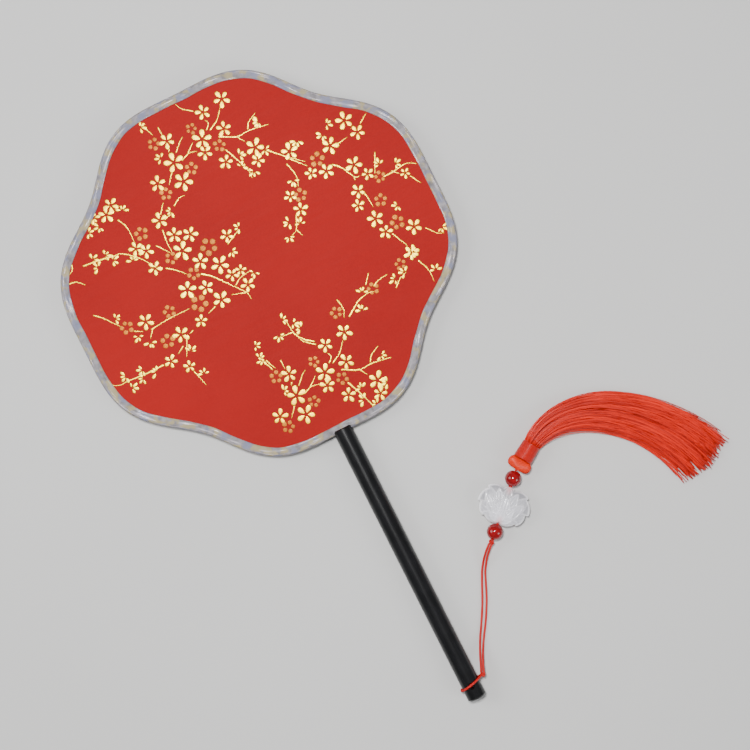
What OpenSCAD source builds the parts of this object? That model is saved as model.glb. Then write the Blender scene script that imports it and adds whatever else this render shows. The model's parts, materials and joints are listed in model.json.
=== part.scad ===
// Round silk hand fan: a lobed face on a hoop, a straight handle and a tassel pendant.
//
// Millimetres. The fan lies on its back on a table. +Y runs up the handle to the top of the
// face, +Z points out of the front, and the table is Z = 0. X = 0 is the handle's own axis.
//
// The fan is drawn about the centre of its face and then put in place by fan_place().
// The pendant is drawn from the cord hole in the handle's foot by cord_place().

/* [Face] */
// Mean radius of the face, to the outside of the binding
face_r = 118.2; // [95:0.1:150]
// How far the sides stand out and the top and bottom draw in
face_widen = 2.15; // [0:0.05:4]
// Depth of the wave that makes the four deep valleys
lobe_four = 3.9; // [0:0.1:5]
// Depth of the wave that makes the eight rounded corners
lobe_eight = 3.25; // [0:0.05:4]
// Thickness of the hoop, front to back
hoop_t = 3; // [2.4:0.1:5]
// Width of the hoop, seen from the front
hoop_w = 4; // [3:0.1:5.5]
// Thickness of each silk
silk_t = 0.4; // [0.2:0.05:0.8]
// Width of the binding, seen from the front
binding_w = 5.4; // [5:0.1:10]
// Thickness of the binding's tape
tape_t = 0.5; // [0.3:0.05:1]

/* [Handle] */
// Diameter of the handle
handle_d = 12.2; // [9:0.1:18]
// Length of the handle
handle_len = 187; // [120:1:260]
// How far the handle's slotted top reaches over the binding
handle_lap = 2.2; // [1:0.1:5]
// Chamfer at the handle's top
top_chamfer = 0.6; // [0.2:0.1:1.2]
// Chamfer at the handle's foot
foot_chamfer = 0.9; // [0.2:0.1:1.4]
// Width of the flat tang
tang_w = 7; // [4:0.1:8]
// Thickness of the flat tang
tang_t = 2; // [1:0.1:2.2]
// Depth of the tang in the handle, from the handle's top
tang_len = 30; // [12:1:60]
// How deep the tang is let into the hoop
tang_notch = 2; // [1:0.1:2.5]

/* [Cord and hitch] */
// Diameter of one cord
cord_d = 1.5; // [1:0.1:2]
// Diameter of the cord hole through the handle
hole_d = 3; // [2.8:0.1:4]
// Height of the cord hole above the handle's foot
hole_up = 9; // [7:0.5:20]
// Depth of the countersinks at both mouths of the cord hole
hole_sink = 0.7; // [0.3:0.1:1]
// Slant of the cord's turn round the handle, in degrees
hitch_slant = 12; // [0:1:16]
// Length of the hitch's tail, from the turn to the swing point
tail_len = 2.6; // [2.5:0.1:4]
// Diameter of the ball in which the tail ends
tail_ball_d = 2; // [1.6:0.1:2.2]
// Diameter of the knot below the beads
knot_d = 3.8; // [3.2:0.1:4.2]

/* [Beads] */
// Direction of the bead line, in degrees from +X
bead_dir = 44.5; // [40:0.5:50]
// Height of the bead line above the table
bead_z = 6.2; // [6.2:0.1:8]
// Diameter of the round beads
bead_d = 10.2; // [8:0.1:11]
// Diameter of the bore in the beads and in the lotus
bore_d = 3; // [2.6:0.1:3.4]
// How far the knot sits in the mouth of the lower bead
knot_sink = 0.2; // [0:0.05:0.3]
// Gap between a round bead and the tips of the lotus's end petals
bead_gap = 0.3; // [0.2:0.05:2]
// Reach of the lotus along the bead line, each way
lotus_reach = 12.1; // [9:0.1:12.2]
// Reach of the widest lotus petals, to each side
lotus_side = 16.7; // [12:0.1:18]
// Thickness of the lotus at its middle
lotus_t = 11.6; // [8:0.1:12]
// Radius of the lotus's domed faces
lotus_dome_r = 36; // [26:1:60]

/* [Tassel] */
// Direction of the tassel's head, in degrees from +X
tassel_dir = 32; // [28:0.5:44]
// Diameter of the bound roll at the top of the tassel
roll_d = 6.2; // [5:0.1:7]
// Length of that roll, side to side
roll_w = 15.3; // [12:0.1:18]
// Diameter of the wound barrel
wrap_d = 12.3; // [9:0.1:12.4]
// Length of the wound barrel
wrap_len = 11.5; // [8:0.1:16]
// Thickness of the barrel's winding
wrap_t = 1.5; // [1:0.1:2.5]
// Width of the fringe at its free end
fringe_end_w = 38; // [24:1:46]
// Height of the fringe at its free end
fringe_end_h = 5; // [3:0.5:8]

/* [Fits] */
// Gap all round between glued pieces
glue_gap = 0.05; // [0.02:0.01:0.1]
// Radial gap between a bead's bore and the cord in it
spin_gap = 0.1; // [0.05:0.01:0.1]
// Gap between pieces that swing past each other
swing_gap = 0.3; // [0.2:0.05:0.5]

/* [Hidden] */

// Straight sides in the face's outline, facets round a turned piece, and a small overshoot
face_sides = 180;
round_fn = 72;
over = 1;

// Heights of the face's layers above its mid-plane
silk_z = hoop_t / 2;
tape_z = silk_z + silk_t;
face_z = tape_z + tape_t;

// Places along the handle, from the centre of the face
rim_bottom = rim_r(180);
rim_top = max([for (i = [0:face_sides - 1]) rim_point(i * 360 / face_sides, 0).y]);
handle_top = handle_lap - rim_bottom;
handle_foot = handle_top - handle_len;
hole_y = handle_foot + hole_up;
tang_top = tape_t + tang_notch - rim_bottom;
tang_foot = handle_top - tang_len;

// The cord's turn round the handle, which the fan rests on
turn_r = handle_d / 2 / cos(hitch_slant) + cord_d / 2 + glue_gap;
handle_z = turn_r + cord_d / 2;
mid_y = (rim_top + handle_foot) / 2;

// The cord sits against the upper side of its hole
cord_in_hole = (hole_d - cord_d) / 2 - glue_gap;
swing_r = turn_r + tail_len;
swing_x = swing_r * cos(hitch_slant);
swing_y = cord_in_hole + swing_r * sin(hitch_slant);

// Routes of the two cord strands from the hitch to the knot: X from the handle's axis,
// Y from the cord hole, Z above the table
strand_left = [[9.4, 4.6, 7.6], [11.0, 8.1, 6.6], [12.8, 12.2, 5.0], [14.8, 16.3, 3.2],
    [16.9, 20.2, 1.7], [19.1, 24.0, 0.9], [21.5, 27.9, 0.8], [24.0, 32.1, 0.8],
    [26.8, 36.9, 0.8], [29.6, 42.1, 0.8], [32.2, 47.5, 0.8], [34.8, 53.0, 0.8],
    [37.5, 58.4, 1.0], [40.4, 63.0, 2.0], [43.6, 67.2, 3.8], [46.9, 70.6, 5.4],
    [49.5, 72.9, 6.1]];
strand_right = [[10.8, 3.8, 7.6], [12.3, 7.3, 6.6], [14.2, 11.3, 5.0], [16.4, 15.3, 3.2],
    [18.7, 19.1, 1.7], [21.1, 22.8, 0.9], [23.7, 26.6, 0.8], [26.3, 30.8, 0.8],
    [29.1, 35.6, 0.8], [31.9, 40.8, 0.8], [34.5, 46.2, 0.8], [36.9, 51.9, 0.8],
    [39.3, 57.3, 1.0], [41.9, 61.8, 2.0], [44.9, 66.0, 3.8], [48.0, 69.4, 5.4],
    [50.5, 71.7, 6.1]];
strand_sides = 8;

// The knot, in the strands' own coordinates, and distances from it along the bead line
knot_xy = [51, 73];
lower_at = knot_d / 2 + bead_d / 2 - knot_sink;
lotus_at = lower_at + bead_d / 2 + bead_gap + lotus_reach;
upper_at = lotus_at + lotus_reach + bead_gap + bead_d / 2;
tassel_at = upper_at + bead_d / 2 + swing_gap;

// Distances along the tassel's head, from the point it swings on
loop_d = bore_d - 2 * swing_gap;
roll_at = loop_d / 2 + swing_gap + roll_d / 2;
wrap_at = roll_at + roll_d / 2 + glue_gap;
fringe_at = wrap_at + wrap_len + swing_gap;

// The lotus's petals on one side: direction in degrees from the bead line, length, half width
side_petals = [[57, 0.95 * lotus_side, 5.2], [96, lotus_side, 4.6], [132, 0.85 * lotus_side, 4.8]];
end_petal_w = 5.4;
lotus_heart_r = 7;

// The fringe: handles of the curve it lies on, from the end of the barrel, and its rings
fringe_curve = [[0, 0], [32, 18], [78, -12], [93.5, -64]];
fringe_rings = 26;
fringe_sides = 12;
fringe_lift = 0.1;

// ---- the face's outline ----

// Radius of the outline at an angle from +Y, and its slope per radian
function rim_r(a) = face_r - face_widen * cos(2 * a) + lobe_four * cos(4 * a)
    - lobe_eight * cos(8 * a);
function rim_slope(a) = 2 * face_widen * sin(2 * a) - 4 * lobe_four * sin(4 * a)
    + 8 * lobe_eight * sin(8 * a);

// Point of the outline at an angle, moved in by a distance square to the edge
function rim_point(a, inset) = let (
    out = [sin(a), cos(a)],
    side = [cos(a), -sin(a)],
    run = rim_slope(a) * out + rim_r(a) * side,
    square = [-run.y, run.x] / norm(run)
) rim_r(a) * out - inset * square;

module rim_shape(inset) {
    polygon([for (i = [0:face_sides - 1]) rim_point(i * 360 / face_sides, inset)]);
}

// A flat layer of the face, from one height to another
module rim_layer(inset, z0, z1) {
    translate([0, 0, z0]) linear_extrude(z1 - z0) rim_shape(inset);
}

// The same layer with its middle cut out
module rim_band(inset, inner, z0, z1) {
    translate([0, 0, z0]) linear_extrude(z1 - z0) difference() {
        rim_shape(inset);
        rim_shape(inner);
    }
}

// ---- placing ----

module fan_place() {
    translate([0, -mid_y, handle_z]) children();
}

// Coordinates from the cord hole and the table
module cord_place() {
    translate([0, hole_y - mid_y, 0]) children();
}

// +X runs along the bead line, from the knot
module bead_place(along) {
    cord_place()
        translate([knot_xy.x, knot_xy.y, bead_z])
            rotate([0, 0, bead_dir])
                translate([along, 0, 0]) children();
}

// +X runs along the tassel's head, from the point it swings on
module tassel_place(along) {
    bead_place(tassel_at)
        rotate([0, 0, tassel_dir - bead_dir])
            translate([along, 0, 0]) children();
}

// Turns a piece drawn along +Z so that it runs along +X
module lie_x() {
    rotate([0, 90, 0]) children();
}

// ---- sweeping ----

function unit(v) = v / norm(v);

// Directions along the path, to its side and up, at one of its points
function path_run(path, i) = unit(path[min(i + 1, len(path) - 1)] - path[max(i - 1, 0)]);
function path_side(path, i) = unit(cross(path_run(path, i), [0, 0, 1]));

// One oval ring of points round the path
function ring_points(path, i, wide, high, sides) = let (
    side = path_side(path, i),
    rise = cross(side, path_run(path, i))
) [for (k = [0:sides - 1]) path[i] + wide * cos(360 * k / sides) * side
    + high * sin(360 * k / sides) * rise];

// A closed solid of ovals along a path. wide and high are half sizes at each point.
module sweep(path, wide, high, sides) {
    rings = len(path);
    last = (rings - 1) * sides;
    points = [for (i = [0:rings - 1]) each ring_points(path, i, wide[i], high[i], sides)];
    walls = [for (i = [0:rings - 2], k = [0:sides - 1]) let (
        a = i * sides + k,
        b = i * sides + (k + 1) % sides
    ) each [[a, b, b + sides], [a, b + sides, a + sides]]];
    start_cap = [for (k = [0:sides - 1]) sides - 1 - k];
    end_cap = [for (k = [0:sides - 1]) last + k];
    polyhedron(points, concat([start_cap], walls, [end_cap]));
}

module cord_tube(path) {
    radii = [for (p = path) cord_d / 2];
    sweep(path, radii, radii, strand_sides);
}

// Point of a four-handle curve
function curve_point(h, t) = pow(1 - t, 3) * h[0] + 3 * pow(1 - t, 2) * t * h[1]
    + 3 * (1 - t) * t * t * h[2] + t * t * t * h[3];

// ---- the fan ----

module handle() {
    r = handle_d / 2;
    slot_t = 2 * face_z + 2 * glue_gap;
    slot_y = handle_top - handle_lap - 4 * glue_gap;
    color([0.1, 0.1, 0.11]) fan_place() difference() {
        translate([0, handle_foot, 0]) rotate([-90, 0, 0])
            rotate_extrude($fn = round_fn)
                polygon([[0, 0], [r - foot_chamfer, 0], [r, foot_chamfer],
                    [r, handle_len - top_chamfer], [r - top_chamfer, handle_len],
                    [0, handle_len]]);
        // slot that straddles the bound rim
        translate([-r - over, slot_y, -slot_t / 2])
            cube([2 * (r + over), handle_top - slot_y + over, slot_t]);
        // blind slot for the tang
        tang_box(glue_gap);
        // cord hole, with its mouths opened out
        translate([0, hole_y, -r - over])
            cylinder(h = 2 * (r + over), d = hole_d, $fn = 48);
        for (side = [0, 180])
            translate([0, hole_y, 0]) rotate([0, side, 0])
                translate([0, 0, r - hole_sink])
                    cylinder(h = hole_sink + over, d1 = hole_d,
                        d2 = hole_d + 2 * (hole_sink + over), $fn = 48);
    }
}

// The tang's block, with a gap round it where it is cut out of something
module tang_box(gap) {
    translate([-tang_w / 2 - gap, tang_foot - gap, -tang_t / 2 - gap])
        cube([tang_w + 2 * gap, tang_top - tang_foot + 2 * gap, tang_t + 2 * gap]);
}

module hoop_tang() {
    color([0.72, 0.6, 0.4]) fan_place() tang_box(0);
}

module rim_hoop() {
    color([0.8, 0.68, 0.45]) fan_place() difference() {
        rim_band(tape_t + glue_gap, tape_t + hoop_w, -silk_z, silk_z);
        tang_box(glue_gap);
    }
}

module back_silk() {
    color([0.66, 0.12, 0.1]) fan_place() rim_layer(tape_t + glue_gap, -tape_z, -silk_z);
}

module front_silk() {
    color([0.75, 0.2, 0.17]) fan_place() rim_layer(tape_t + glue_gap, silk_z, tape_z);
}

module edge_binding() {
    color([0.56, 0.54, 0.56]) fan_place() difference() {
        rim_band(0, binding_w, -face_z, face_z);
        rim_band(tape_t, binding_w + over, -tape_z, tape_z);
        tang_box(2 * glue_gap);
    }
}

// ---- the cord and the beads ----

module cord_hitch() {
    color([0.86, 0.2, 0.18]) cord_place() translate([0, cord_in_hole, handle_z]) {
        // turn round the handle
        rotate([0, 0, hitch_slant]) rotate([90, 0, 0])
            rotate_extrude($fn = 48) translate([turn_r, 0]) circle(d = cord_d, $fn = 16);
        // run through the hole
        translate([0, 0, -turn_r]) cylinder(h = 2 * turn_r, d = cord_d, $fn = 16);
        // tail, ending in the ball that the strands swing on
        rotate([0, 0, hitch_slant]) translate([turn_r, 0, 0]) {
            lie_x() cylinder(h = tail_len, d = cord_d, $fn = 16);
            translate([tail_len, 0, 0]) sphere(d = tail_ball_d, $fn = 24);
        }
    }
}

module cord_strand_left() {
    color([0.88, 0.2, 0.18]) cord_place() cord_tube(strand_left);
}

module cord_strand_right() {
    color([0.88, 0.2, 0.18]) cord_place() cord_tube(strand_right);
}

module cord_knot() {
    color([0.85, 0.18, 0.16]) bead_place(0) sphere(d = knot_d, $fn = 48);
}

module bead_cord() {
    stop = tassel_at - loop_d / 2 - swing_gap;
    color([0.86, 0.2, 0.18]) bead_place(0) lie_x()
        cylinder(h = stop, d = bore_d - 2 * spin_gap, $fn = 36);
}

// A ball turned with its bore, so that the bore is true
module round_bead(along) {
    bead_place(along) lie_x() rotate_extrude($fn = round_fn) difference() {
        circle(d = bead_d, $fn = 64);
        translate([bore_d / 2 - bead_d, -bead_d]) square([bead_d, 2 * bead_d]);
    }
}

module lower_bead() {
    color([0.6, 0.02, 0.05]) round_bead(lower_at);
}

module upper_bead() {
    color([0.6, 0.02, 0.05]) round_bead(upper_at);
}

// Pointed petal from the origin along +X, between two arcs
module petal(reach, half_w) {
    r = (reach * reach / 4 + half_w * half_w) / (2 * half_w);
    intersection() {
        translate([reach / 2, r - half_w]) circle(r, $fn = 96);
        translate([reach / 2, half_w - r]) circle(r, $fn = 96);
    }
}

module lotus_shape() {
    circle(lotus_heart_r, $fn = 48);
    for (turn = [0, 180]) rotate(turn) petal(lotus_reach, end_petal_w);
    for (side = [-1, 1], p = side_petals) rotate(side * p[0]) petal(p[1], p[2]);
}

// Ball whose top or bottom is one domed face of the lotus
module lotus_dome(side) {
    translate([0, 0, side * (lotus_t / 2 - lotus_dome_r)]) sphere(lotus_dome_r, $fn = 96);
}

module lotus_bead() {
    reach = lotus_reach + over;
    color([0.82, 0.81, 0.86]) bead_place(lotus_at) difference() {
        intersection() {
            translate([0, 0, -lotus_t / 2]) linear_extrude(lotus_t) lotus_shape();
            lotus_dome(1);
            lotus_dome(-1);
        }
        translate([-reach, 0, 0]) lie_x() cylinder(h = 2 * reach, d = bore_d, $fn = 36);
    }
}

// ---- the tassel ----

module tassel_loop() {
    // one turned piece: a round end at the swing point, and a stem into the roll
    color([0.88, 0.22, 0.16]) tassel_place(0) lie_x() rotate_extrude($fn = 36) {
        intersection() {
            circle(d = loop_d, $fn = 36);
            translate([0, -loop_d]) square([loop_d, 2 * loop_d]);
        }
        square([loop_d / 2 - glue_gap, roll_at - roll_d / 4]);
    }
}

module tassel_roll() {
    half = (roll_w - roll_d) / 2;
    color([0.9, 0.32, 0.16]) tassel_place(roll_at) {
        rotate([90, 0, 0]) cylinder(h = 2 * half, d = roll_d, center = true, $fn = 48);
        for (side = [-1, 1]) translate([0, side * half, 0]) sphere(d = roll_d, $fn = 48);
    }
}

module tassel_core() {
    color([0.85, 0.2, 0.14]) tassel_place(wrap_at) lie_x()
        cylinder(h = wrap_len - wrap_t, d = wrap_d - 2 * (wrap_t + glue_gap), $fn = 48);
}

module tassel_wrap() {
    color([0.92, 0.34, 0.18]) tassel_place(wrap_at) lie_x() difference() {
        cylinder(h = wrap_len, d = wrap_d, $fn = round_fn);
        translate([0, 0, -over])
            cylinder(h = wrap_len + 2 * over, d = wrap_d - 2 * wrap_t, $fn = 48);
    }
}

module tassel_fringe() {
    full = wrap_d / 2;
    nose = 0.36 * full + swing_gap;
    turn = tassel_dir - bead_dir;
    // the first rings make a blunt cone that clears the barrel as the fringe sways
    shares = concat([0.005, 0.012], [for (i = [1:fringe_rings]) i / fringe_rings]);
    flat = [for (t = shares) curve_point(fringe_curve, t)];
    far = fringe_curve[3];
    wide = [for (i = [0:len(shares) - 1]) let (from = norm(flat[i])) from < nose
        ? full * max(from - swing_gap, 0.05) / nose
        : full + (fringe_end_w / 2 - full) * pow(shares[i], 0.8)];
    high = [for (i = [0:len(shares) - 1]) let (from = norm(flat[i])) from < nose
        ? full * max(from - swing_gap, 0.05) / nose
        : full + (fringe_end_h / 2 - full) * pow(shares[i], 0.6)];
    path = [for (i = [0:len(shares) - 1]) [flat[i].x, flat[i].y,
        norm(flat[i]) < nose ? 0 : high[i] + fringe_lift - bead_z]];
    color([0.88, 0.2, 0.14]) tassel_place(fringe_at) rotate([0, 0, -tassel_dir])
        sweep(path, wide, high, fringe_sides);
}

handle();
hoop_tang();
rim_hoop();
back_silk();
front_silk();
edge_binding();
cord_hitch();
cord_strand_left();
cord_strand_right();
cord_knot();
bead_cord();
lower_bead();
lotus_bead();
upper_bead();
tassel_loop();
tassel_roll();
tassel_core();
tassel_wrap();
tassel_fringe();
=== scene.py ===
"""Round silk hand fan with a bead and tassel pendant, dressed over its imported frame.

Metres. +Y runs up the handle to the top of the face, +Z points out of the printed front, and
the table is Z = 0. The file is laid out as a Blender add-on and is run as a script: one
operator makes each piece or group of like pieces, and main() calls them in order.
"""

import json
import math

import bpy
import numpy as np
from bpy.props import FloatProperty, FloatVectorProperty, IntProperty, PointerProperty
from bpy.types import Operator, Panel, PropertyGroup
from mathutils import Matrix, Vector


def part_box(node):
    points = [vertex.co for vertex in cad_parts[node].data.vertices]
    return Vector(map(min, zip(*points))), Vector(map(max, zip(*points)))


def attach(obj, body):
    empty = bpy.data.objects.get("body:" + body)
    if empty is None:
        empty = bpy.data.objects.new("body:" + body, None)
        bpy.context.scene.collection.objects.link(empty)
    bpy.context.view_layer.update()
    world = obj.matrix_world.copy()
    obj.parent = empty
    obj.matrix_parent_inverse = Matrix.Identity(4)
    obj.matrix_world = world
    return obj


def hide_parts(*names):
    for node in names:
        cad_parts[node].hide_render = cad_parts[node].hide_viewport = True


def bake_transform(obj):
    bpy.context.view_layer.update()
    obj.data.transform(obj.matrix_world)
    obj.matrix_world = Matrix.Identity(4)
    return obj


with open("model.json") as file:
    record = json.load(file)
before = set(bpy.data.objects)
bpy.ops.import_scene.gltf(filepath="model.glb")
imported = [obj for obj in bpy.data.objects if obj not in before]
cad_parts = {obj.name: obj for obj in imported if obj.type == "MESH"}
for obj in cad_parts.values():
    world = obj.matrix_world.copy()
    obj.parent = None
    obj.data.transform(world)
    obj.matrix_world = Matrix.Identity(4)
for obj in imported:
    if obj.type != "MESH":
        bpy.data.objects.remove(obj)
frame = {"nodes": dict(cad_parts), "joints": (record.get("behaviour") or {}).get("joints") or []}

bl_info = {
    "name": "Silk Fan Dresser",
    "version": (1, 0, 0),
    "blender": (4, 5, 0),
    "location": "View3D > Sidebar > Silk Fan",
    "description": "Makes the visible pieces of a round silk fan over its packed frame",
    "category": "Add Mesh",
}

MM = 0.001
UP = np.array([0.0, 0.0, 1.0])


# ---- places that the frame gives ----

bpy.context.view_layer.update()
SWING = {joint["name"]: np.array(joint["pos_m"]) for joint in frame["joints"]}


def middle(node):
    """Middle of a frame node's box."""
    low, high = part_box(node)
    return (np.array(low) + np.array(high)) / 2


def unit(vectors):
    """Each vector over its own length."""
    return vectors / np.linalg.norm(vectors, axis=-1, keepdims=True)


FACE_MIDDLE = middle("edge_binding")
HANDLE_FOOT = np.array(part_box("handle")[0])[1]
HANDLE_Z = middle("handle")[2]
CORD_HOLE = np.array([0.0, HANDLE_FOOT + 9 * MM, 0.0])
KNOT = middle("cord_knot")
LOWER_BEAD = middle("lower_bead")
UPPER_BEAD = middle("upper_bead")
LOTUS = (LOWER_BEAD + UPPER_BEAD) / 2
BEAD_LINE = unit(UPPER_BEAD - LOWER_BEAD)
TASSEL_TOP = SWING["tassel_swing"]
FRINGE_TOP = SWING["fringe_sway"]
HEAD_LINE = unit(FRINGE_TOP - TASSEL_TOP)

# Heights above the middle of the face: the cloth's top, and the thickness of a cloth
CLOTH_TOP = 1.9 * MM
CLOTH_THICK = 0.34 * MM
BINDING_TOP = 2.4 * MM
# The tape's length along the rim and the way round its section, in metres
TAPE_LENGTH = 0.75
TAPE_ROUND = 0.016

# Routes of the two pendant cords: X from the handle's axis, Y from the cord hole, Z above
# the table, in millimetres
ROUTE_LEFT = [
    (9.4, 4.6, 7.6), (11.0, 8.1, 6.6), (12.8, 12.2, 5.0), (14.8, 16.3, 3.2),
    (16.9, 20.2, 1.7), (19.1, 24.0, 0.9), (21.5, 27.9, 0.8), (24.0, 32.1, 0.8),
    (26.8, 36.9, 0.8), (29.6, 42.1, 0.8), (32.2, 47.5, 0.8), (34.8, 53.0, 0.8),
    (37.5, 58.4, 1.0), (40.4, 63.0, 2.0), (43.6, 67.2, 3.8), (46.9, 70.6, 5.4),
    (49.5, 72.9, 6.1),
]
ROUTE_RIGHT = [
    (10.8, 3.8, 7.6), (12.3, 7.3, 6.6), (14.2, 11.3, 5.0), (16.4, 15.3, 3.2),
    (18.7, 19.1, 1.7), (21.1, 22.8, 0.9), (23.7, 26.6, 0.8), (26.3, 30.8, 0.8),
    (29.1, 35.6, 0.8), (31.9, 40.8, 0.8), (34.5, 46.2, 0.8), (36.9, 51.9, 0.8),
    (39.3, 57.3, 1.0), (41.9, 61.8, 2.0), (44.9, 66.0, 3.8), (48.0, 69.4, 5.4),
    (50.5, 71.7, 6.1),
]

# ---- the print's layout, in millimetres from the middle of the face ----
# Blossoms are (x, y, reach of a petal), twigs are lines that taper to their last point, and
# buds are places of small clusters.

TOP_SPRAY = {
    "bright": [
        (25, 101, 5.7), (11, 99, 5.0), (18, 84, 5.4), (3, 84, 6.5), (-17, 93, 5.4),
        (-19, 79, 6.8), (1, 76, 5.2), (10, 65, 5.0), (30, 65, 6.5), (28, 57, 4.8),
        (-34, 72, 5.4), (-19, 66, 6.3),
    ],
    "shadow": [(0, 93, 3.9), (-25, 95, 4.3), (11, 76, 4.3), (-11, 71, 4.2), (-32, 64, 4.5)],
    "twigs": [
        [(10, 87), (17, 91), (22, 97)], [(8, 88), (11, 91), (10, 94)],
        [(6, 102), (0, 107), (-2, 111)], [(-26, 107), (-23, 100)], [(-18, 103), (-18, 97)],
        [(-15, 84), (-11, 88), (-7, 91)], [(-14, 78), (-8, 80), (-3, 79)],
        [(-9, 80), (-3, 85)], [(-23, 74), (-28, 68)], [(13, 81), (23, 76), (32, 76), (44, 74)],
        [(31, 77), (34, 81), (40, 84)], [(23, 76), (26, 71)],
        [(13, 72), (16, 65), (20, 54), (20, 49)], [(-18, 88), (-19, 86)],
    ],
    "buds": [(-28, 108), (39, 78), (19, 65), (17, 58), (23, 52), (-25, 85), (35, 61)],
}
LEFT_SPRAY = {
    "bright": [
        (-43, 51, 5.7), (-39, 39, 5.4), (-30, 35, 5.4), (-39, 28, 6.5), (-10, 24, 5.0),
        (-64, 42, 5.0), (-59, 38, 5.0), (-66, 73, 5.2), (-71, 69, 5.7), (-32, 17, 5.6),
        (-22, 10, 6.2), (-59, 26, 5.0), (-18, 1, 4.5), (-12, 1, 3.8), (-12, -9, 5.0),
        (-47, 5, 6.2), (-36, 1, 5.0), (-31, -10, 5.9), (-48, -16, 4.5), (-79, -1, 5.6),
        (-63, -18, 5.9), (-76, -30, 4.7), (-67, -38, 4.1),
    ],
    "shadow": [
        (-57, 49, 4.8), (-23, 23, 6.1), (-47, 27, 4.3), (-39, 12, 4.4), (-44, -6, 5.9),
        (-63, -2, 4.5), (-91, 1, 4.5), (-72, -18, 5.0),
    ],
    "twigs": [
        [(-41, 54), (-36, 60)], [(-31, 55), (-26, 58), (-22, 58)],
        [(-44, 45), (-45, 38), (-45, 30)], [(-66, 63), (-63, 56), (-63, 46)],
        [(-12, 19), (-2, 24)], [(-52, 38), (-46, 30)], [(-40, 50), (-34, 52)],
        [(-98, 47), (-89, 46), (-78, 44), (-73, 43), (-64, 35), (-58, 26)],
        [(-53, 23), (-48, 19), (-43, 14)],
        [(-35, 10), (-29, 5), (-21, -5), (-15, -13), (-14, -18)],
        [(-15, -13), (-24, -10)], [(-19, -6), (-14, -3), (-7, -2)],
        [(-78, -7), (-66, -6), (-51, -6)], [(-77, -7), (-81, -12)],
        [(-106, 17), (-101, 12), (-94, 3)], [(-88, -3), (-83, -6)], [(-36, -12), (-42, -14)],
        [(-55, -19), (-58, -20)], [(-65, -25), (-70, -28)], [(-61, -22), (-66, -32)],
        [(-81, -30), (-93, -30), (-105, -29), (-111, -29), (-115, -27)],
        [(-66, -42), (-64, -49), (-63, -53)], [(-104, 51), (-105, 48), (-108, 46)],
        [(-111, 41), (-106, 40), (-102, 36)],
    ],
    "buds": [
        (-61, 67), (-79, 71), (-78, 64), (-86, 64), (-34, 53), (-1, 25), (-12, 14),
        (-91, 48), (-90, 42), (-83, 47), (-80, 42), (-69, 36), (-5, -4), (-82, -14),
        (-95, 9), (-87, -7), (-62, -30), (-105, -26), (-94, -27), (-96, -32), (-105, -34),
        (-87, -32), (-61, -46),
    ],
}
RIGHT_SPRAY = {
    "bright": [
        (87, 55, 6.0), (91, 45, 5.1), (72, 45, 6.0), (80, 28, 6.0), (48, 53, 6.0),
        (54, 35, 4.2), (63, 32, 5.1), (75, 12, 4.8), (71, 4, 4.6), (77, -8, 5.6),
        (79, -18, 4.8), (96, -23, 5.4), (106, 9, 3.7), (85, 19, 4.3), (38, 18, 5.1),
        (36, 28, 4.2), (88, -36, 4.8),
    ],
    "shadow": [(61, 41, 5.0), (91, 14, 4.0), (85, 1, 4.6), (88, -16, 5.1), (42, 26, 4.6)],
    "twigs": [
        [(37, 59), (45, 51), (54, 43)], [(46, 49), (54, 40)],
        [(68, 34), (72, 30), (77, 21), (80, 20)], [(77, 21), (76, 19)],
        [(43, 47), (45, 38), (43, 31)], [(77, 44), (84, 45)], [(95, 49), (101, 53)],
        [(95, 29), (89, 17)], [(93, 13), (99, 13), (109, 14), (115, 11)],
        [(99, 14), (103, 10)], [(108, 6), (112, -1)], [(78, 9), (79, -1)],
        [(82, -21), (85, -27), (87, -32)], [(102, -27), (107, -33), (111, -35)],
        [(34, 16), (30, 8), (26, 6)], [(30, 8), (32, 3)],
    ],
    "buds": [
        (39, 78), (55, 57), (76, 58), (71, 53), (94, 21), (103, 17), (93, -7), (42, 36),
        (28, 14), (34, 10), (24, 6), (111, -31),
    ],
}
LOW_SPRAY = {
    "bright": [(87, -37, 5.0)],
    "shadow": [(29, -49, 4.1), (56, -46, 4.1), (78, -40, 4.1)],
    "twigs": [
        [(89, -43), (92, -51), (92, -59)], [(69, -52), (74, -48), (79, -46)],
        [(53, -42), (58, -36)], [(57, -45), (61, -43), (68, -42)],
        [(35, -55), (44, -49), (52, -47), (56, -48)], [(33, -42), (34, -49), (32, -54)],
        [(9, -59), (4, -55), (0, -49), (-1, -40)], [(0, -48), (-8, -47)],
        [(-22, -63), (-25, -55)],
    ],
    "buds": [
        (96, -53), (71, -47), (78, -46), (49, -45), (44, -55), (-3, -38), (2, -43),
        (5, -48), (-9, -46), (-26, -53), (-25, -45),
    ],
}
# The cloth's repeat brings the top spray round again this far down the face
REPEAT = (3, -163)


# ---- mesh arithmetic ----

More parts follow.
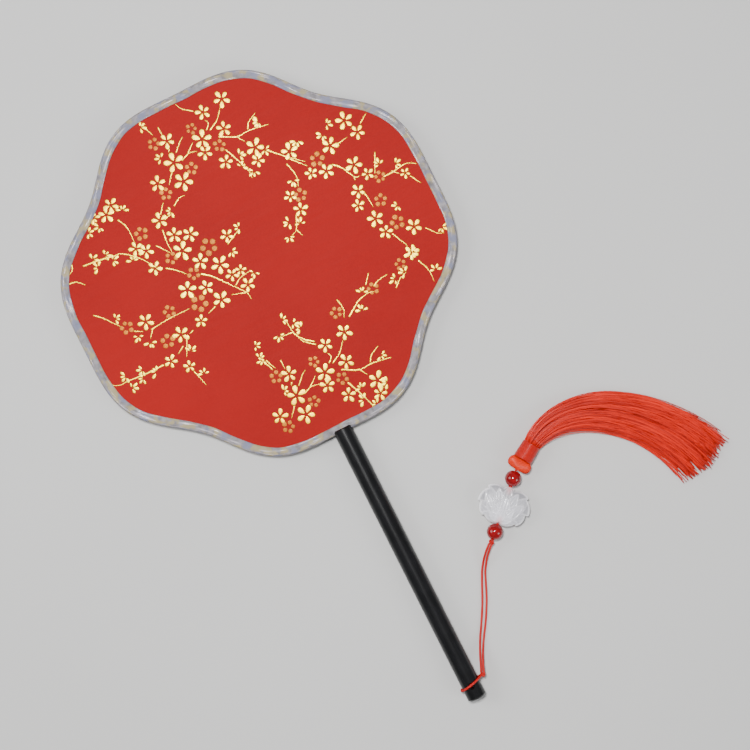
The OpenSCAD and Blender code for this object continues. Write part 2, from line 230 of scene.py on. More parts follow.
def skin(grid, first=None, last=None, ring=False):
    """Closed skins over an array of copies x rows x columns x 3.

    Each point joins the next in its row and the one under it, and a row's last point joins
    its first. With ring the last row joins the first; otherwise first and last are the
    points, one a copy, that close the ends. UV is the share of the way round and along."""
    copies, rows, cols = grid.shape[:3]
    points = grid.reshape(copies, rows * cols, 3)
    spans = rows if ring else rows - 1
    i, j = np.meshgrid(np.arange(spans), np.arange(cols), indexing="ij")
    corner_i = np.stack([i, i, i + 1, i + 1], -1).reshape(-1, 4)
    corner_j = np.stack([j, j + 1, j + 1, j], -1).reshape(-1, 4)
    quads = (corner_i % rows) * cols + corner_j % cols
    quad_uv = np.stack([corner_j / cols, corner_i / spans], -1)
    tris = np.zeros((0, 3), int)
    tri_uv = np.zeros((0, 3, 2))
    if not ring:
        k = np.arange(cols)
        pole = rows * cols
        points = np.concatenate([points, first[:, None], last[:, None]], 1)
        start = np.stack([k * 0 + pole, (k + 1) % cols, k], 1)
        end = np.stack([k * 0 + pole + 1, pole - cols + k, pole - cols + (k + 1) % cols], 1)
        start_u = np.stack([k + 0.5, k + 1, k], 1) / cols
        end_u = np.stack([k + 0.5, k, k + 1], 1) / cols
        tris = np.concatenate([start, end])
        tri_uv = np.concatenate([
            np.stack([start_u, start_u * 0], -1),
            np.stack([end_u, end_u * 0 + 1], -1),
        ])
    size = points.shape[1]
    shift = np.arange(copies)[:, None, None] * size
    return {
        "points": points.reshape(-1, 3),
        "quads": (quads + shift).reshape(-1, 4),
        "tris": (tris + shift).reshape(-1, 3),
        "quad_uv": np.tile(quad_uv, (copies, 1, 1)),
        "tri_uv": np.tile(tri_uv, (copies, 1, 1)),
        "values": {},
        "size": size,
    }


def merged(skins):
    """Several skins as one, each one's faces counted on from the points before it."""
    starts = np.cumsum([0] + [len(s["points"]) for s in skins[:-1]])
    whole = {"size": 0}
    whole["quads"] = np.concatenate([s["quads"] + n for s, n in zip(skins, starts)])
    whole["tris"] = np.concatenate([s["tris"] + n for s, n in zip(skins, starts)])
    for part in ("points", "quad_uv", "tri_uv"):
        whole[part] = np.concatenate([s[part] for s in skins])
    whole["values"] = {
        name: np.concatenate([s["values"][name] for s in skins]) for name in skins[0]["values"]
    }
    return whole


def make_piece(name, shape, material):
    """A smooth mesh object at the origin, from the whole arrays of a skin."""
    quads, tris = shape["quads"], shape["tris"]
    loops = np.concatenate([quads.ravel(), tris.ravel()]).astype(np.int32)
    starts = np.concatenate([
        np.arange(len(quads)) * 4,
        len(quads) * 4 + np.arange(len(tris)) * 3,
    ]).astype(np.int32)
    uv = np.concatenate([shape["quad_uv"].reshape(-1, 2), shape["tri_uv"].reshape(-1, 2)])
    mesh = bpy.data.meshes.new(name)
    mesh.vertices.add(len(shape["points"]))
    mesh.vertices.foreach_set("co", shape["points"].astype(np.float32).ravel())
    mesh.loops.add(len(loops))
    mesh.loops.foreach_set("vertex_index", loops)
    mesh.polygons.add(len(starts))
    mesh.polygons.foreach_set("loop_start", starts)
    mesh.polygons.foreach_set("use_smooth", np.ones(len(starts), bool))
    layer = mesh.uv_layers.new(name="UVMap")
    layer.data.foreach_set("uv", uv.astype(np.float32).ravel())
    for label, values in shape["values"].items():
        attribute = mesh.attributes.new(label, "FLOAT", "POINT")
        attribute.data.foreach_set("value", values.astype(np.float32))
    mesh.update(calc_edges=True)
    if mesh.validate():
        raise RuntimeError(name + " has faces that are not valid")
    mesh.materials.append(material)
    piece = bpy.data.objects.new(name, mesh)
    bpy.context.scene.collection.objects.link(piece)
    return piece


def settle(piece, body, finish, *nodes):
    """Puts a piece on its body and hides the nodes that it stands for. The finish is not used."""
    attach(piece, body)
    if nodes:
        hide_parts(*nodes)
    return piece


def smooth_route(points, step):
    """The cubic through the points whose slope at each is half the way between its two
    neighbours (Catmull-Rom), with new points a step apart along it."""
    p = np.asarray(points, float)
    spans = len(p) - 1
    p = np.vstack([2 * p[0] - p[1], p, 2 * p[-1] - p[-2]])
    t = np.linspace(0, spans, 60 * spans + 1)
    i = np.minimum(t.astype(int), spans - 1)
    f = (t - i)[:, None]
    a, b, c, d = p[i], p[i + 1], p[i + 2], p[i + 3]
    line = 0.5 * (
        2 * b + (c - a) * f + (2 * a - 5 * b + 4 * c - d) * f**2 + (3 * b - a - 3 * c + d) * f**3
    )
    run = np.concatenate([[0], np.cumsum(np.linalg.norm(np.diff(line, axis=0), axis=1))])
    even = np.linspace(0, run[-1], max(int(round(run[-1] / step)), 3) + 1)
    return np.stack([np.interp(even, run, line[:, k]) for k in range(p.shape[1])], 1)


def path_axes(path, up, ring=False):
    """Run, side and rise at each point of a path: the side is square to the run and up."""
    if ring:
        run = np.roll(path, -1, axis=-2) - np.roll(path, 1, axis=-2)
    else:
        run = np.gradient(path, axis=-2)
    run = unit(run)
    side = unit(np.cross(run, up))
    return run, side, np.cross(run, side)


def carried(path, wide, high, up, sides, turn=0.0, ring=False, crown=1.0):
    """Skin of ovals carried along a path: each is the path's point plus cos(a) times wide
    along the side and sin(a) times high along the rise. wide and high may change along the
    path and round it, and turn adds to the angle a. The ends close at points just past them.
    crown, 0 in the valleys between threads and 1 on them, is kept for the painted shade that darkens those
    valleys."""
    run, side, rise = path_axes(path, up, ring)
    a = np.arange(sides) * 2 * np.pi / sides
    a = a + np.reshape(turn, (-1, 1))
    wide = np.broadcast_to(wide, (len(path), sides))
    high = np.broadcast_to(high, (len(path), sides))
    grid = (
        path[:, None]
        + (np.cos(a) * wide)[..., None] * side[:, None]
        + (np.sin(a) * high)[..., None] * rise[:, None]
    )
    crowns = np.broadcast_to(crown, (len(path), sides)).ravel()
    if ring:
        shape = skin(grid[None], ring=True)
        shape["values"]["crown"] = crowns
        return shape
    first = path[:1] - run[:1] * wide[0].mean() * 0.35
    last = path[-1:] + run[-1:] * wide[-1].mean() * 0.35
    shape = skin(grid[None], first, last)
    shape["values"]["crown"] = np.append(crowns, [0.5, 0.5])
    return shape


def twisted_cord(path, radius, up=UP, plies=3, lead=4.2 * MM, ring=False):
    """A cord laid from plies: round the path its radius is the full one at each ply's crown
    and a fifth less in the valleys, as 0.8 + 0.2 |cos(plies / 2 times the angle)|, and the
    plies turn once in a lead."""
    sides = plies * 6
    gaps = np.linalg.norm(np.diff(path, axis=0), axis=1)
    run = np.concatenate([[0], np.cumsum(gaps)])
    if ring:
        whole = run[-1] + np.linalg.norm(path[0] - path[-1])
        lead = whole / max(round(whole / lead), 1)
    a = np.arange(sides) * 2 * np.pi / sides
    crown = np.abs(np.cos(plies * a / 2))
    size = np.broadcast_to(radius * (0.8 + 0.2 * crown), (len(path), sides))
    return carried(path, size, size, up, sides, 2 * np.pi * run / lead, ring, crown)


def turned(profile, centre, axis, sides, ring=True):
    """A profile of (distance along the axis, distance from it), turned round the axis."""
    side = unit(np.cross(axis, UP))
    rise = np.cross(axis, side)
    a = np.arange(sides) * 2 * np.pi / sides
    spoke = np.cos(a)[:, None] * side + np.sin(a)[:, None] * rise
    along, out = profile[:, 0], profile[:, 1]
    grid = centre + along[:, None, None] * axis + out[:, None, None] * spoke
    if ring:
        return skin(grid[None], ring=True)
    return skin(grid[None], (centre + along[0] * axis)[None], (centre + along[-1] * axis)[None])


def turned_over(points):
    """Points of the front, turned half round the handle's line, so that they face back."""
    about = np.array([0.0, 0.0, FACE_MIDDLE[2]])
    return (points - about) * np.array([-1.0, 1.0, -1.0]) + about


# ---- shader nodes ----

def node(tree, kind, values=None, **settings):
    """A node of that kind, with its settings and the given input values or links."""
    made = tree.nodes.new(kind)
    for key, value in settings.items():
        setattr(made, key, value)
    for key, value in (values or {}).items():
        if isinstance(value, bpy.types.NodeSocket):
            tree.links.new(value, made.inputs[key])
        else:
            made.inputs[key].default_value = value
    return made


def number(tree, operation, *values):
    """A math node's result."""
    made = node(tree, "ShaderNodeMath", dict(enumerate(values)), operation=operation)
    return made.outputs[0]


def mixed(tree, share, low, high):
    """One colour or the other, by a share."""
    values = {"Factor": share, 6: low, 7: high}
    made = node(tree, "ShaderNodeMix", values, data_type="RGBA")
    return made.outputs[2]


def spread(tree, value, low, high, to_low=0.0, to_high=1.0):
    """A value's range, mapped to another and held inside it."""
    values = {0: value, 1: low, 2: high, 3: to_low, 4: to_high}
    return node(tree, "ShaderNodeMapRange", values).outputs[0]


def new_group(name, inputs, outputs):
    """An empty node group with those named sockets, and its two end nodes."""
    group = bpy.data.node_groups.new(name, "ShaderNodeTree")
    for label, kind, value in inputs:
        socket = group.interface.new_socket(label, in_out="INPUT", socket_type=kind)
        if value is not None:
            socket.default_value = value
    for label, kind in outputs:
        group.interface.new_socket(label, in_out="OUTPUT", socket_type=kind)
    start = group.nodes.new("NodeGroupInput")
    end = group.nodes.new("NodeGroupOutput")
    return group, start, end


def placed_group(tree, name, values):
    """A node group placed in a material, with its own values."""
    return node(tree, "ShaderNodeGroup", values, node_tree=bpy.data.node_groups[name])


def make_weave_group():
    """Plain weave: the product of a sine across and a sine along, so that threads rise over
    and under each other, with a slower noise that makes some threads thicker."""
    group, start, end = new_group(
        "thread_weave",
        [("Vector", "NodeSocketVector", None), ("Threads across", "NodeSocketFloat", 1000.0),
         ("Threads along", "NodeSocketFloat", 1000.0), ("Slub", "NodeSocketFloat", 0.3)],
        [("Height", "NodeSocketFloat"), ("Slub", "NodeSocketFloat")],
    )
    split = node(group, "ShaderNodeSeparateXYZ", {0: start.outputs[0]})
    turn = 2 * math.pi
    across = number(group, "MULTIPLY", split.outputs[0], start.outputs[1])
    along = number(group, "MULTIPLY", split.outputs[1], start.outputs[2])
    wave_across = number(group, "SINE", number(group, "MULTIPLY", across, turn))
    wave_along = number(group, "SINE", number(group, "MULTIPLY", along, turn))
    weave = number(group, "MULTIPLY_ADD", number(group, "MULTIPLY", wave_across, wave_along), 0.5, 0.5)
    long_cells = node(group, "ShaderNodeCombineXYZ", {
        0: number(group, "MULTIPLY", split.outputs[0], 60.0),
        1: number(group, "MULTIPLY", split.outputs[1], 1400.0),
        2: number(group, "MULTIPLY", split.outputs[2], 60.0),
    })
    slub = node(group, "ShaderNodeTexNoise", {"Vector": long_cells.outputs[0], "Scale": 1.0})
    slub_part = number(group, "MULTIPLY", slub.outputs["Fac"], start.outputs[3])
    group.links.new(number(group, "ADD", weave, slub_part), end.inputs[0])
    group.links.new(slub.outputs["Fac"], end.inputs[1])


def make_mottle_group():
    """Cloudy change between two colours, from a noise whose middle is stretched."""
    group, start, end = new_group(
        "colour_mottle",
        [("Vector", "NodeSocketVector", None), ("Scale", "NodeSocketFloat", 50.0),
         ("Detail", "NodeSocketFloat", 3.0), ("Dark", "NodeSocketColor", (0, 0, 0, 1)),
         ("Light", "NodeSocketColor", (1, 1, 1, 1))],
        [("Color", "NodeSocketColor"), ("Fac", "NodeSocketFloat")],
    )
    noise = node(group, "ShaderNodeTexNoise", {
        "Vector": start.outputs[0], "Scale": start.outputs[1], "Detail": start.outputs[2],
    })
    share = spread(group, noise.outputs["Fac"], 0.3, 0.7)
    group.links.new(mixed(group, share, start.outputs[3], start.outputs[4]), end.inputs[0])
    group.links.new(share, end.inputs[1])


def make_grain_group():
    """Fine grain drawn out along Y: a noise on coordinates that are squeezed that way."""
    group, start, end = new_group(
        "long_grain",
        [("Vector", "NodeSocketVector", None), ("Across", "NodeSocketFloat", 1500.0),
         ("Along", "NodeSocketFloat", 90.0)],
        [("Fac", "NodeSocketFloat"), ("Height", "NodeSocketFloat")],
    )
    split = node(group, "ShaderNodeSeparateXYZ", {0: start.outputs[0]})
    squeezed = node(group, "ShaderNodeCombineXYZ", {
        0: number(group, "MULTIPLY", split.outputs[0], start.outputs[1]),
        1: number(group, "MULTIPLY", split.outputs[1], start.outputs[2]),
        2: number(group, "MULTIPLY", split.outputs[2], start.outputs[1]),
    })
    coarse = node(group, "ShaderNodeTexNoise", {
        "Vector": squeezed.outputs[0], "Scale": 1.0, "Detail": 4.0,
    })
    pores = spread(group, coarse.outputs["Fac"], 0.36, 0.5)
    group.links.new(coarse.outputs["Fac"], end.inputs[0])
    group.links.new(pores, end.inputs[1])


def make_fibre_group():
    """Fine fibres on a piece's own UV: a sine of so many fibres round and so many turns
    along, roughened by noise, as a height and as a share for colour."""
    group, start, end = new_group(
        "silk_fibre",
        [("UV", "NodeSocketVector", None), ("Round", "NodeSocketFloat", 24.0),
         ("Along", "NodeSocketFloat", 60.0)],
        [("Height", "NodeSocketFloat"), ("Fac", "NodeSocketFloat")],
    )
    split = node(group, "ShaderNodeSeparateXYZ", {0: start.outputs[0]})
    round_part = number(group, "MULTIPLY", split.outputs[0], start.outputs[1])
    phase = number(group, "MULTIPLY_ADD", split.outputs[1], start.outputs[2], round_part)
    wave = number(group, "SINE", number(group, "MULTIPLY", phase, 2 * math.pi))
    height = number(group, "MULTIPLY_ADD", wave, 0.5, 0.5)
    slow = number(group, "MULTIPLY", split.outputs[1], 6.0)
    stretched = node(group, "ShaderNodeCombineXYZ", {0: phase, 1: slow})
    fuzz = node(group, "ShaderNodeTexNoise", {"Vector": stretched.outputs[0], "Scale": 1.3})
    group.links.new(number(group, "MULTIPLY", height, fuzz.outputs["Fac"]), end.inputs[0])
    group.links.new(spread(group, fuzz.outputs["Fac"], 0.3, 0.7), end.inputs[1])


def new_material(name, roughness, **fixed):
    """A material with its Principled BSDF, and the numbers that are the same all over."""
    material = bpy.data.materials.new(name)
    material.use_nodes = True
    shader = material.node_tree.nodes["Principled BSDF"]
    shader.inputs["Roughness"].default_value = roughness
    for key, value in fixed.items():
        shader.inputs[key.replace("_", " ")].default_value = value
    return material, material.node_tree, shader


def bump(tree, shader, height, distance, strength=1.0):
    """Feeds a height through a Bump node into the shader's normal."""
    made = node(tree, "ShaderNodeBump", {
        "Height": height, "Distance": distance, "Strength": strength,
    })
    tree.links.new(made.outputs[0], shader.inputs["Normal"])


def object_coords(tree):
    return node(tree, "ShaderNodeTexCoord").outputs["Object"]


def uv_coords(tree):
    return node(tree, "ShaderNodeUVMap", uv_map="UVMap").outputs[0]


def opaque(colour, scale=1.0):
    """A colour property as a socket's four numbers, lighter or darker by a scale."""
    return tuple(min(c * scale, 1.0) for c in colour[:3]) + (1.0,)


def silk_material(settings):
    """Red silk: plain weave that is a little darker in clouds, with soft sheen, and a painted highlight that
    lightens the weave's crests in flecks.
    """
    material, tree, shader = new_material(
        "red_silk_cloth", 0.6, Sheen_Weight=0.03, Sheen_Roughness=0.4, Specular_IOR_Level=0.12,
    )
    shader.inputs["Sheen Tint"].default_value = opaque(settings.silk_colour, 1.6)
    coords = object_coords(tree)
    clouds = placed_group(tree, "colour_mottle", {
        "Vector": coords, "Scale": 9.0, "Detail": 4.0,
        "Dark": opaque(settings.silk_colour, 0.86), "Light": opaque(settings.silk_colour, 1.08),
    })
    weave = placed_group(tree, "thread_weave", {
        "Vector": coords, "Threads across": 1700.0, "Threads along": 1700.0, "Slub": 0.04,
    })
    # Painted highlight: in flecks, the crests of the weave are lightened towards half again the silk's
    # colour.
    fleck = node(tree, "ShaderNodeTexNoise", {"Vector": coords, "Scale": 1100.0, "Detail": 2.0})
    crest_highlight = spread(tree, fleck.outputs["Fac"], 0.3, 0.7, 0.1, 0.5)
    share = number(tree, "MULTIPLY", weave.outputs["Height"], crest_highlight)
    colour = mixed(tree, share, clouds.outputs["Color"], opaque(settings.silk_colour, 1.5))
    tree.links.new(colour, shader.inputs["Base Color"])
    rough = spread(tree, weave.outputs["Slub"], 0.3, 0.7, 0.58, 0.63)
    tree.links.new(rough, shader.inputs["Roughness"])
    bump(tree, shader, weave.outputs["Height"], 0.00005, 0.5)
    return material


def foil_material(name, light, dark, line):
    """Printed foil: cloudy between two golds, with a dark printed line round each petal,
    from the petal's own rings."""
    material, tree, shader = new_material(name, 0.34, Metallic=0.6, Specular_IOR_Level=0.2)
    coords = object_coords(tree)
    clouds = placed_group(tree, "colour_mottle", {
        "Vector": coords, "Scale": 26.0, "Detail": 2.0, "Dark": dark, "Light": light,
    })
    ring = node(tree, "ShaderNodeAttribute", attribute_name="ring").outputs["Fac"]
    edge = spread(tree, ring, 0.86, 0.97, 0.0, 0.85)
    crackle = node(tree, "ShaderNodeTexNoise", {"Vector": coords, "Scale": 1800.0})
    rough = spread(tree, crackle.outputs["Fac"], 0.3, 0.7, 0.28, 0.5)
    tree.links.new(mixed(tree, edge, clouds.outputs["Color"], line), shader.inputs["Base Color"])
    tree.links.new(rough, shader.inputs["Roughness"])
    bump(tree, shader, crackle.outputs["Fac"], 0.00003, 0.4)
    return material


def copper_material(settings):
    """Copper print, hatched: stripes of the copper with dark brown ones between."""
    material, tree, shader = new_material("copper_hatch_print", 0.45, Metallic=0.2, Specular_IOR_Level=0.15)
    coords = object_coords(tree)
    split = node(tree, "ShaderNodeSeparateXYZ", {0: coords})
    slant = number(tree, "ADD", split.outputs[0], split.outputs[1])
    wave = number(tree, "SINE", number(tree, "MULTIPLY", slant, 6200.0))
    share = spread(tree, wave, -0.6, 0.2, 0.25, 1.0)
    clouds = placed_group(tree, "colour_mottle", {
        "Vector": coords, "Scale": 40.0, "Detail": 2.0,
        "Dark": opaque(settings.copper_colour, 0.8), "Light": opaque(settings.copper_colour, 1.2),
    })
    brown = (0.2, 0.02, 0.002, 1)
    tree.links.new(mixed(tree, share, brown, clouds.outputs["Color"]), shader.inputs["Base Color"])
    tree.links.new(spread(tree, share, 0.0, 1.0, 0.6, 0.4), shader.inputs["Roughness"])
    return material


def tape_material(settings):
    """Brocade tape: lavender grey threads with khaki and blue patches drawn out along it,
    and single bright metallic threads."""
    material, tree, shader = new_material("brocade_edge_tape", 0.5, Metallic=0.15, Specular_IOR_Level=0.35)
    real_size = {"Vector": uv_coords(tree), "Scale": (TAPE_LENGTH, TAPE_ROUND, 1.0)}
    coords = node(tree, "ShaderNodeMapping", real_size).outputs[0]
    drawn_out = {"Vector": coords, "Scale": (0.55, 1.0, 1.0)}
    patches = node(tree, "ShaderNodeMapping", drawn_out).outputs[0]
    base = placed_group(tree, "colour_mottle", {
        "Vector": patches, "Scale": 420.0, "Detail": 3.0,
        "Dark": opaque(settings.tape_colour, 0.5), "Light": opaque(settings.tape_colour, 1.3),
    })
    khaki = node(tree, "ShaderNodeTexNoise", {"Vector": patches, "Scale": 260.0, "Detail": 2.0})
    blue = node(
        tree, "ShaderNodeTexNoise", {"Vector": patches, "Scale": 210.0, "W": 3.0},
        noise_dimensions="4D",
    )
    khaki_share = spread(tree, khaki.outputs["Fac"], 0.5, 0.58, 0.0, 0.8)
    blue_share = spread(tree, blue.outputs["Fac"], 0.52, 0.6, 0.0, 0.75)
    colour = mixed(tree, khaki_share, base.outputs["Color"], opaque(settings.tape_khaki))
    colour = mixed(tree, blue_share, colour, opaque(settings.tape_blue))
    weave = placed_group(tree, "thread_weave", {
        "Vector": coords, "Threads across": 1600.0, "Threads along": 1600.0, "Slub": 0.5,
    })
    thread = spread(tree, weave.outputs["Slub"], 0.56, 0.66, 0.0, 0.5)
    colour = mixed(tree, thread, colour, opaque(settings.tape_colour, 2.2))
    tree.links.new(colour, shader.inputs["Base Color"])
    tree.links.new(spread(tree, thread, 0.0, 0.5, 0.55, 0.32), shader.inputs["Roughness"])
    tree.links.new(spread(tree, thread, 0.0, 0.5, 0.05, 0.5), shader.inputs["Metallic"])
    bump(tree, shader, weave.outputs["Height"], 0.00012, 0.6)
    return material


def lacquer_material(settings):
    """Black lacquer over wood: the grain shows as fine pores that break up the gloss, and
    wear leaves faint lighter rubs."""
    material, tree, shader = new_material(
        "black_lacquer", 0.42, Specular_IOR_Level=0.22, Coat_Weight=0.35, Coat_Roughness=0.16,
    )
    coords = object_coords(tree)
    grain = placed_group(tree, "long_grain", {"Vector": coords, "Across": 1700.0, "Along": 110.0})
    rubs = placed_group(tree, "colour_mottle", {
        "Vector": coords, "Scale": 90.0, "Detail": 5.0,
        "Dark": opaque(settings.lacquer_colour), "Light": opaque(settings.lacquer_colour, 2.4),
    })
    pore = opaque(settings.lacquer_colour, 0.4)
    colour = mixed(tree, grain.outputs["Height"], pore, rubs.outputs["Color"])
    tree.links.new(colour, shader.inputs["Base Color"])
    tree.links.new(spread(tree, grain.outputs["Fac"], 0.3, 0.7, 0.36, 0.24), shader.inputs["Roughness"])
    bump(tree, shader, grain.outputs["Fac"], 0.00006, 0.35)
    tree.links.new(shader.inputs["Normal"].links[0].from_socket, shader.inputs["Coat Normal"])
    return material


def bamboo_material():
    """Bare bamboo of the hidden hoop and tang: pale, with long darker fibres."""
    material, tree, shader = new_material("bare_bamboo", 0.6)
    grain = placed_group(tree, "long_grain", {"Vector": object_coords(tree), "Across": 900.0, "Along": 60.0})
    colour = mixed(tree, grain.outputs["Fac"], (0.32, 0.2, 0.08, 1), (0.68, 0.52, 0.28, 1))
    tree.links.new(colour, shader.inputs["Base Color"])
    bump(tree, shader, grain.outputs["Height"], 0.0001, 0.4)
    return material


def cord_material(name, colour, fibres_round, fibres_along, roughness=0.42):
    """Silky twisted thread: fine fibres on the piece's UV lighten and darken the colour, and painted shade
    darkens the valleys between plies, threads and turns, where crown is low.
    """
    material, tree, shader = new_material(
        name, roughness, Sheen_Weight=0.04, Sheen_Roughness=0.3, Specular_IOR_Level=0.3,
    )
    shader.inputs["Sheen Tint"].default_value = opaque(colour, 1.5)
    fibre = placed_group(tree, "silk_fibre", {
        "UV": uv_coords(tree), "Round": fibres_round, "Along": fibres_along,
    })
    shade = mixed(tree, fibre.outputs["Fac"], opaque(colour, 0.7), opaque(colour, 1.3))
    # Painted shade: where the crown attribute is low, in the valleys between plies or threads, the colour is
    # darkened towards 0.3 of itself.
    crown = node(tree, "ShaderNodeAttribute", attribute_name="crown").outputs["Fac"]
    shade = mixed(tree, spread(tree, crown, 0.0, 0.7), opaque(colour, 0.3), shade)
    tree.links.new(shade, shader.inputs["Base Color"])
    rough = spread(tree, fibre.outputs["Fac"], 0.0, 1.0, roughness - 0.06, roughness + 0.1)
    tree.links.new(rough, shader.inputs["Roughness"])
    bump(tree, shader, fibre.outputs["Height"], 0.00005, 0.6)
    return material


def thread_material(settings):
    """Loose silk threads: each has its own tone, and a soft gloss along it."""
    material, tree, shader = new_material(
        "loose_silk_thread", 0.34, Sheen_Weight=0.03, Sheen_Roughness=0.3, Specular_IOR_Level=0.4,
    )
    shader.inputs["Sheen Tint"].default_value = opaque(settings.thread_colour, 1.5)
    tone = node(tree, "ShaderNodeAttribute", attribute_name="tone").outputs["Fac"]
    colour = mixed(tree, tone, opaque(settings.thread_colour, 0.45), opaque(settings.thread_light))
    fibre = placed_group(tree, "silk_fibre", {"UV": uv_coords(tree), "Round": 3.0, "Along": 90.0})
    share = spread(tree, fibre.outputs["Fac"], 0.0, 1.0, 0.0, 0.25)
    colour = mixed(tree, share, colour, opaque(settings.thread_light, 1.1))
    tree.links.new(colour, shader.inputs["Base Color"])
    tree.links.new(spread(tree, tone, 0.0, 1.0, 0.46, 0.32), shader.inputs["Roughness"])
    return material


def ruby_material(settings):
    """Polished red stone: deep red with darker clouds under a clear gloss."""
    material, tree, shader = new_material(
        "polished_red_stone", 0.07, Coat_Weight=0.2, Coat_Roughness=0.03, Subsurface_Weight=0.1,
    )
    shader.inputs["Subsurface Radius"].default_value = (0.003, 0.0003, 0.0003)
    shader.inputs["Subsurface Scale"].default_value = 1.0
    clouds = placed_group(tree, "colour_mottle", {
        "Vector": object_coords(tree), "Scale": 260.0, "Detail": 4.0,
        "Dark": opaque(settings.bead_colour, 0.7), "Light": opaque(settings.bead_colour, 1.2),
    })
    tree.links.new(clouds.outputs["Color"], shader.inputs["Base Color"])
    tree.links.new(spread(tree, clouds.outputs["Fac"], 0.0, 1.0, 0.05, 0.11), shader.inputs["Roughness"])
    return material


def jade_material(settings):
    """Pale carved stone: milky lilac with cloudier patches, a painted highlight along the outline and the
    steep steps of the carving, painted shade that darkens its deep recesses, and a pink cast over the red
    cord at both ends of its bore."""
    material, tree, shader = new_material(
        "pale_carved_stone", 0.3, Coat_Weight=0.25, Coat_Roughness=0.12, Subsurface_Weight=0.1,
    )
    shader.inputs["Subsurface Radius"].default_value = (0.0012, 0.0011, 0.0013)
    shader.inputs["Subsurface Scale"].default_value = 1.0
    coords = object_coords(tree)
    clouds = placed_group(tree, "colour_mottle", {
        "Vector": coords, "Scale": 150.0, "Detail": 5.0,
        "Dark": opaque(settings.jade_colour, 0.8), "Light": opaque(settings.jade_colour, 1.08),
    })
    rim = node(tree, "ShaderNodeAttribute", attribute_name="rim").outputs["Fac"]
    deep = node(tree, "ShaderNodeAttribute", attribute_name="deep").outputs["Fac"]
    cast = node(tree, "ShaderNodeAttribute", attribute_name="cast").outputs["Fac"]
    # Painted shade in the carving's recesses: the colour falls towards 0.42 of the stone's.
    colour = mixed(tree, deep, clouds.outputs["Color"], opaque(settings.jade_colour, 0.42))
    # Painted highlight on the outline and the steep steps of the carving: the colour rises towards white.
    colour = mixed(tree, rim, colour, (0.97, 0.96, 0.98, 1))
    colour = mixed(tree, cast, colour, (0.86, 0.42, 0.44, 1))
    polish = node(tree, "ShaderNodeTexNoise", {"Vector": coords, "Scale": 900.0, "Detail": 3.0})
    tree.links.new(colour, shader.inputs["Base Color"])
    tree.links.new(spread(tree, polish.outputs["Fac"], 0.3, 0.7, 0.2, 0.42), shader.inputs["Roughness"])
    bump(tree, shader, polish.outputs["Fac"], 0.00006, 0.4)
    return material


# ---- settings ----

def colour_setting(name, description, default):
    return FloatVectorProperty(
        name=name, description=description, default=default, subtype="COLOR", size=3,
        min=0.0, max=1.0,
    )


def length_setting(name, description, default):
    return FloatProperty(
        name=name, description=description, default=default, min=0.0, unit="LENGTH",
    )


class SilkFanFace(PropertyGroup):
    radius: length_setting("Face radius", "Mean radius to the outside of the binding", 118.2 * MM)
    widen: length_setting("Widening", "How far the sides stand out", 2.15 * MM)
    valleys: length_setting("Valleys", "Wave that makes the four deep valleys", 3.9 * MM)
    corners: length_setting("Corners", "Wave that makes the eight rounded corners", 3.25 * MM)
    binding_width: length_setting("Binding width", "Width of the folded tape", 5.4 * MM)
    sag: length_setting("Sag", "How far the stretched cloth dips in the middle", 0.25 * MM)
    foil: length_setting("Foil thickness", "Height of the print over the cloth", 0.07 * MM)
    silk_colour: colour_setting("Silk", "Colour of the silk", (0.3, 0.004, 0.003))
    gold_colour: colour_setting("Gold", "Colour of the lighter foil", (0.95, 0.7, 0.03))
    dark_gold_colour: colour_setting("Dark gold", "Colour of the darker foil", (0.85, 0.5, 0.008))
    copper_colour: colour_setting("Copper", "Colour of the hatched blossoms", (0.6, 0.2, 0.008))
    tape_colour: colour_setting("Tape", "Main colour of the binding", (0.25, 0.23, 0.245))
    tape_khaki: colour_setting("Tape khaki", "Colour of its golden patches", (0.36, 0.29, 0.13))
    tape_blue: colour_setting("Tape blue", "Colour of its blue patches", (0.17, 0.18, 0.28))


class SilkFanHandle(PropertyGroup):
    lacquer_colour: colour_setting("Lacquer", "Colour of the handle", (0.003, 0.003, 0.0035))


class SilkFanPendant(PropertyGroup):
    cord_diameter: length_setting("Cord", "Diameter of one cord", 1.5 * MM)
    bead_diameter: length_setting("Beads", "Diameter of the round beads", 10.2 * MM)
    bore_diameter: length_setting("Bore", "Diameter of the beads' bore", 3.0 * MM)
    lotus_reach: length_setting("Lotus reach", "Reach along the bead line", 12.1 * MM)
    lotus_side: length_setting("Lotus side", "Reach of its widest petals", 16.7 * MM)
    lotus_thickness: length_setting("Lotus thickness", "Thickness at its middle", 11.6 * MM)
    cord_colour: colour_setting("Cord colour", "Colour of the cord", (0.6, 0.006, 0.004))
    bead_colour: colour_setting("Bead colour", "Colour of the round beads", (0.26, 0.0, 0.003))
    jade_colour: colour_setting("Lotus colour", "Colour of the carved lotus", (0.8, 0.785, 0.85))


class SilkFanTassel(PropertyGroup):
    threads: IntProperty(name="Threads", description="Loose threads in the fringe", default=700, min=50)
    thread_diameter: length_setting("Thread", "Diameter of one loose thread", 0.48 * MM)
    end_width: length_setting("End width", "Width of the fringe at its free end", 38 * MM)
    end_height: length_setting("End height", "Height of the fringe at its free end", 5 * MM)
    barrel_diameter: length_setting("Barrel", "Diameter of the wound barrel", 12.3 * MM)
    barrel_length: length_setting("Barrel length", "Length of the wound barrel", 11.5 * MM)
    roll_width: length_setting("Roll width", "Length of the roll, side to side", 15.3 * MM)
    roll_diameter: length_setting("Roll", "Thickness of the roll", 6.2 * MM)
    thread_colour: colour_setting("Thread colour", "Colour of the threads", (0.55, 0.004, 0.001))
    thread_light: colour_setting("Light thread", "Colour of the lightest threads", (0.88, 0.022, 0.004))
    head_colour: colour_setting("Head colour", "Colour of the roll", (0.78, 0.03, 0.002))
    barrel_colour: colour_setting("Barrel colour", "Colour of the barrel", (0.55, 0.006, 0.001))


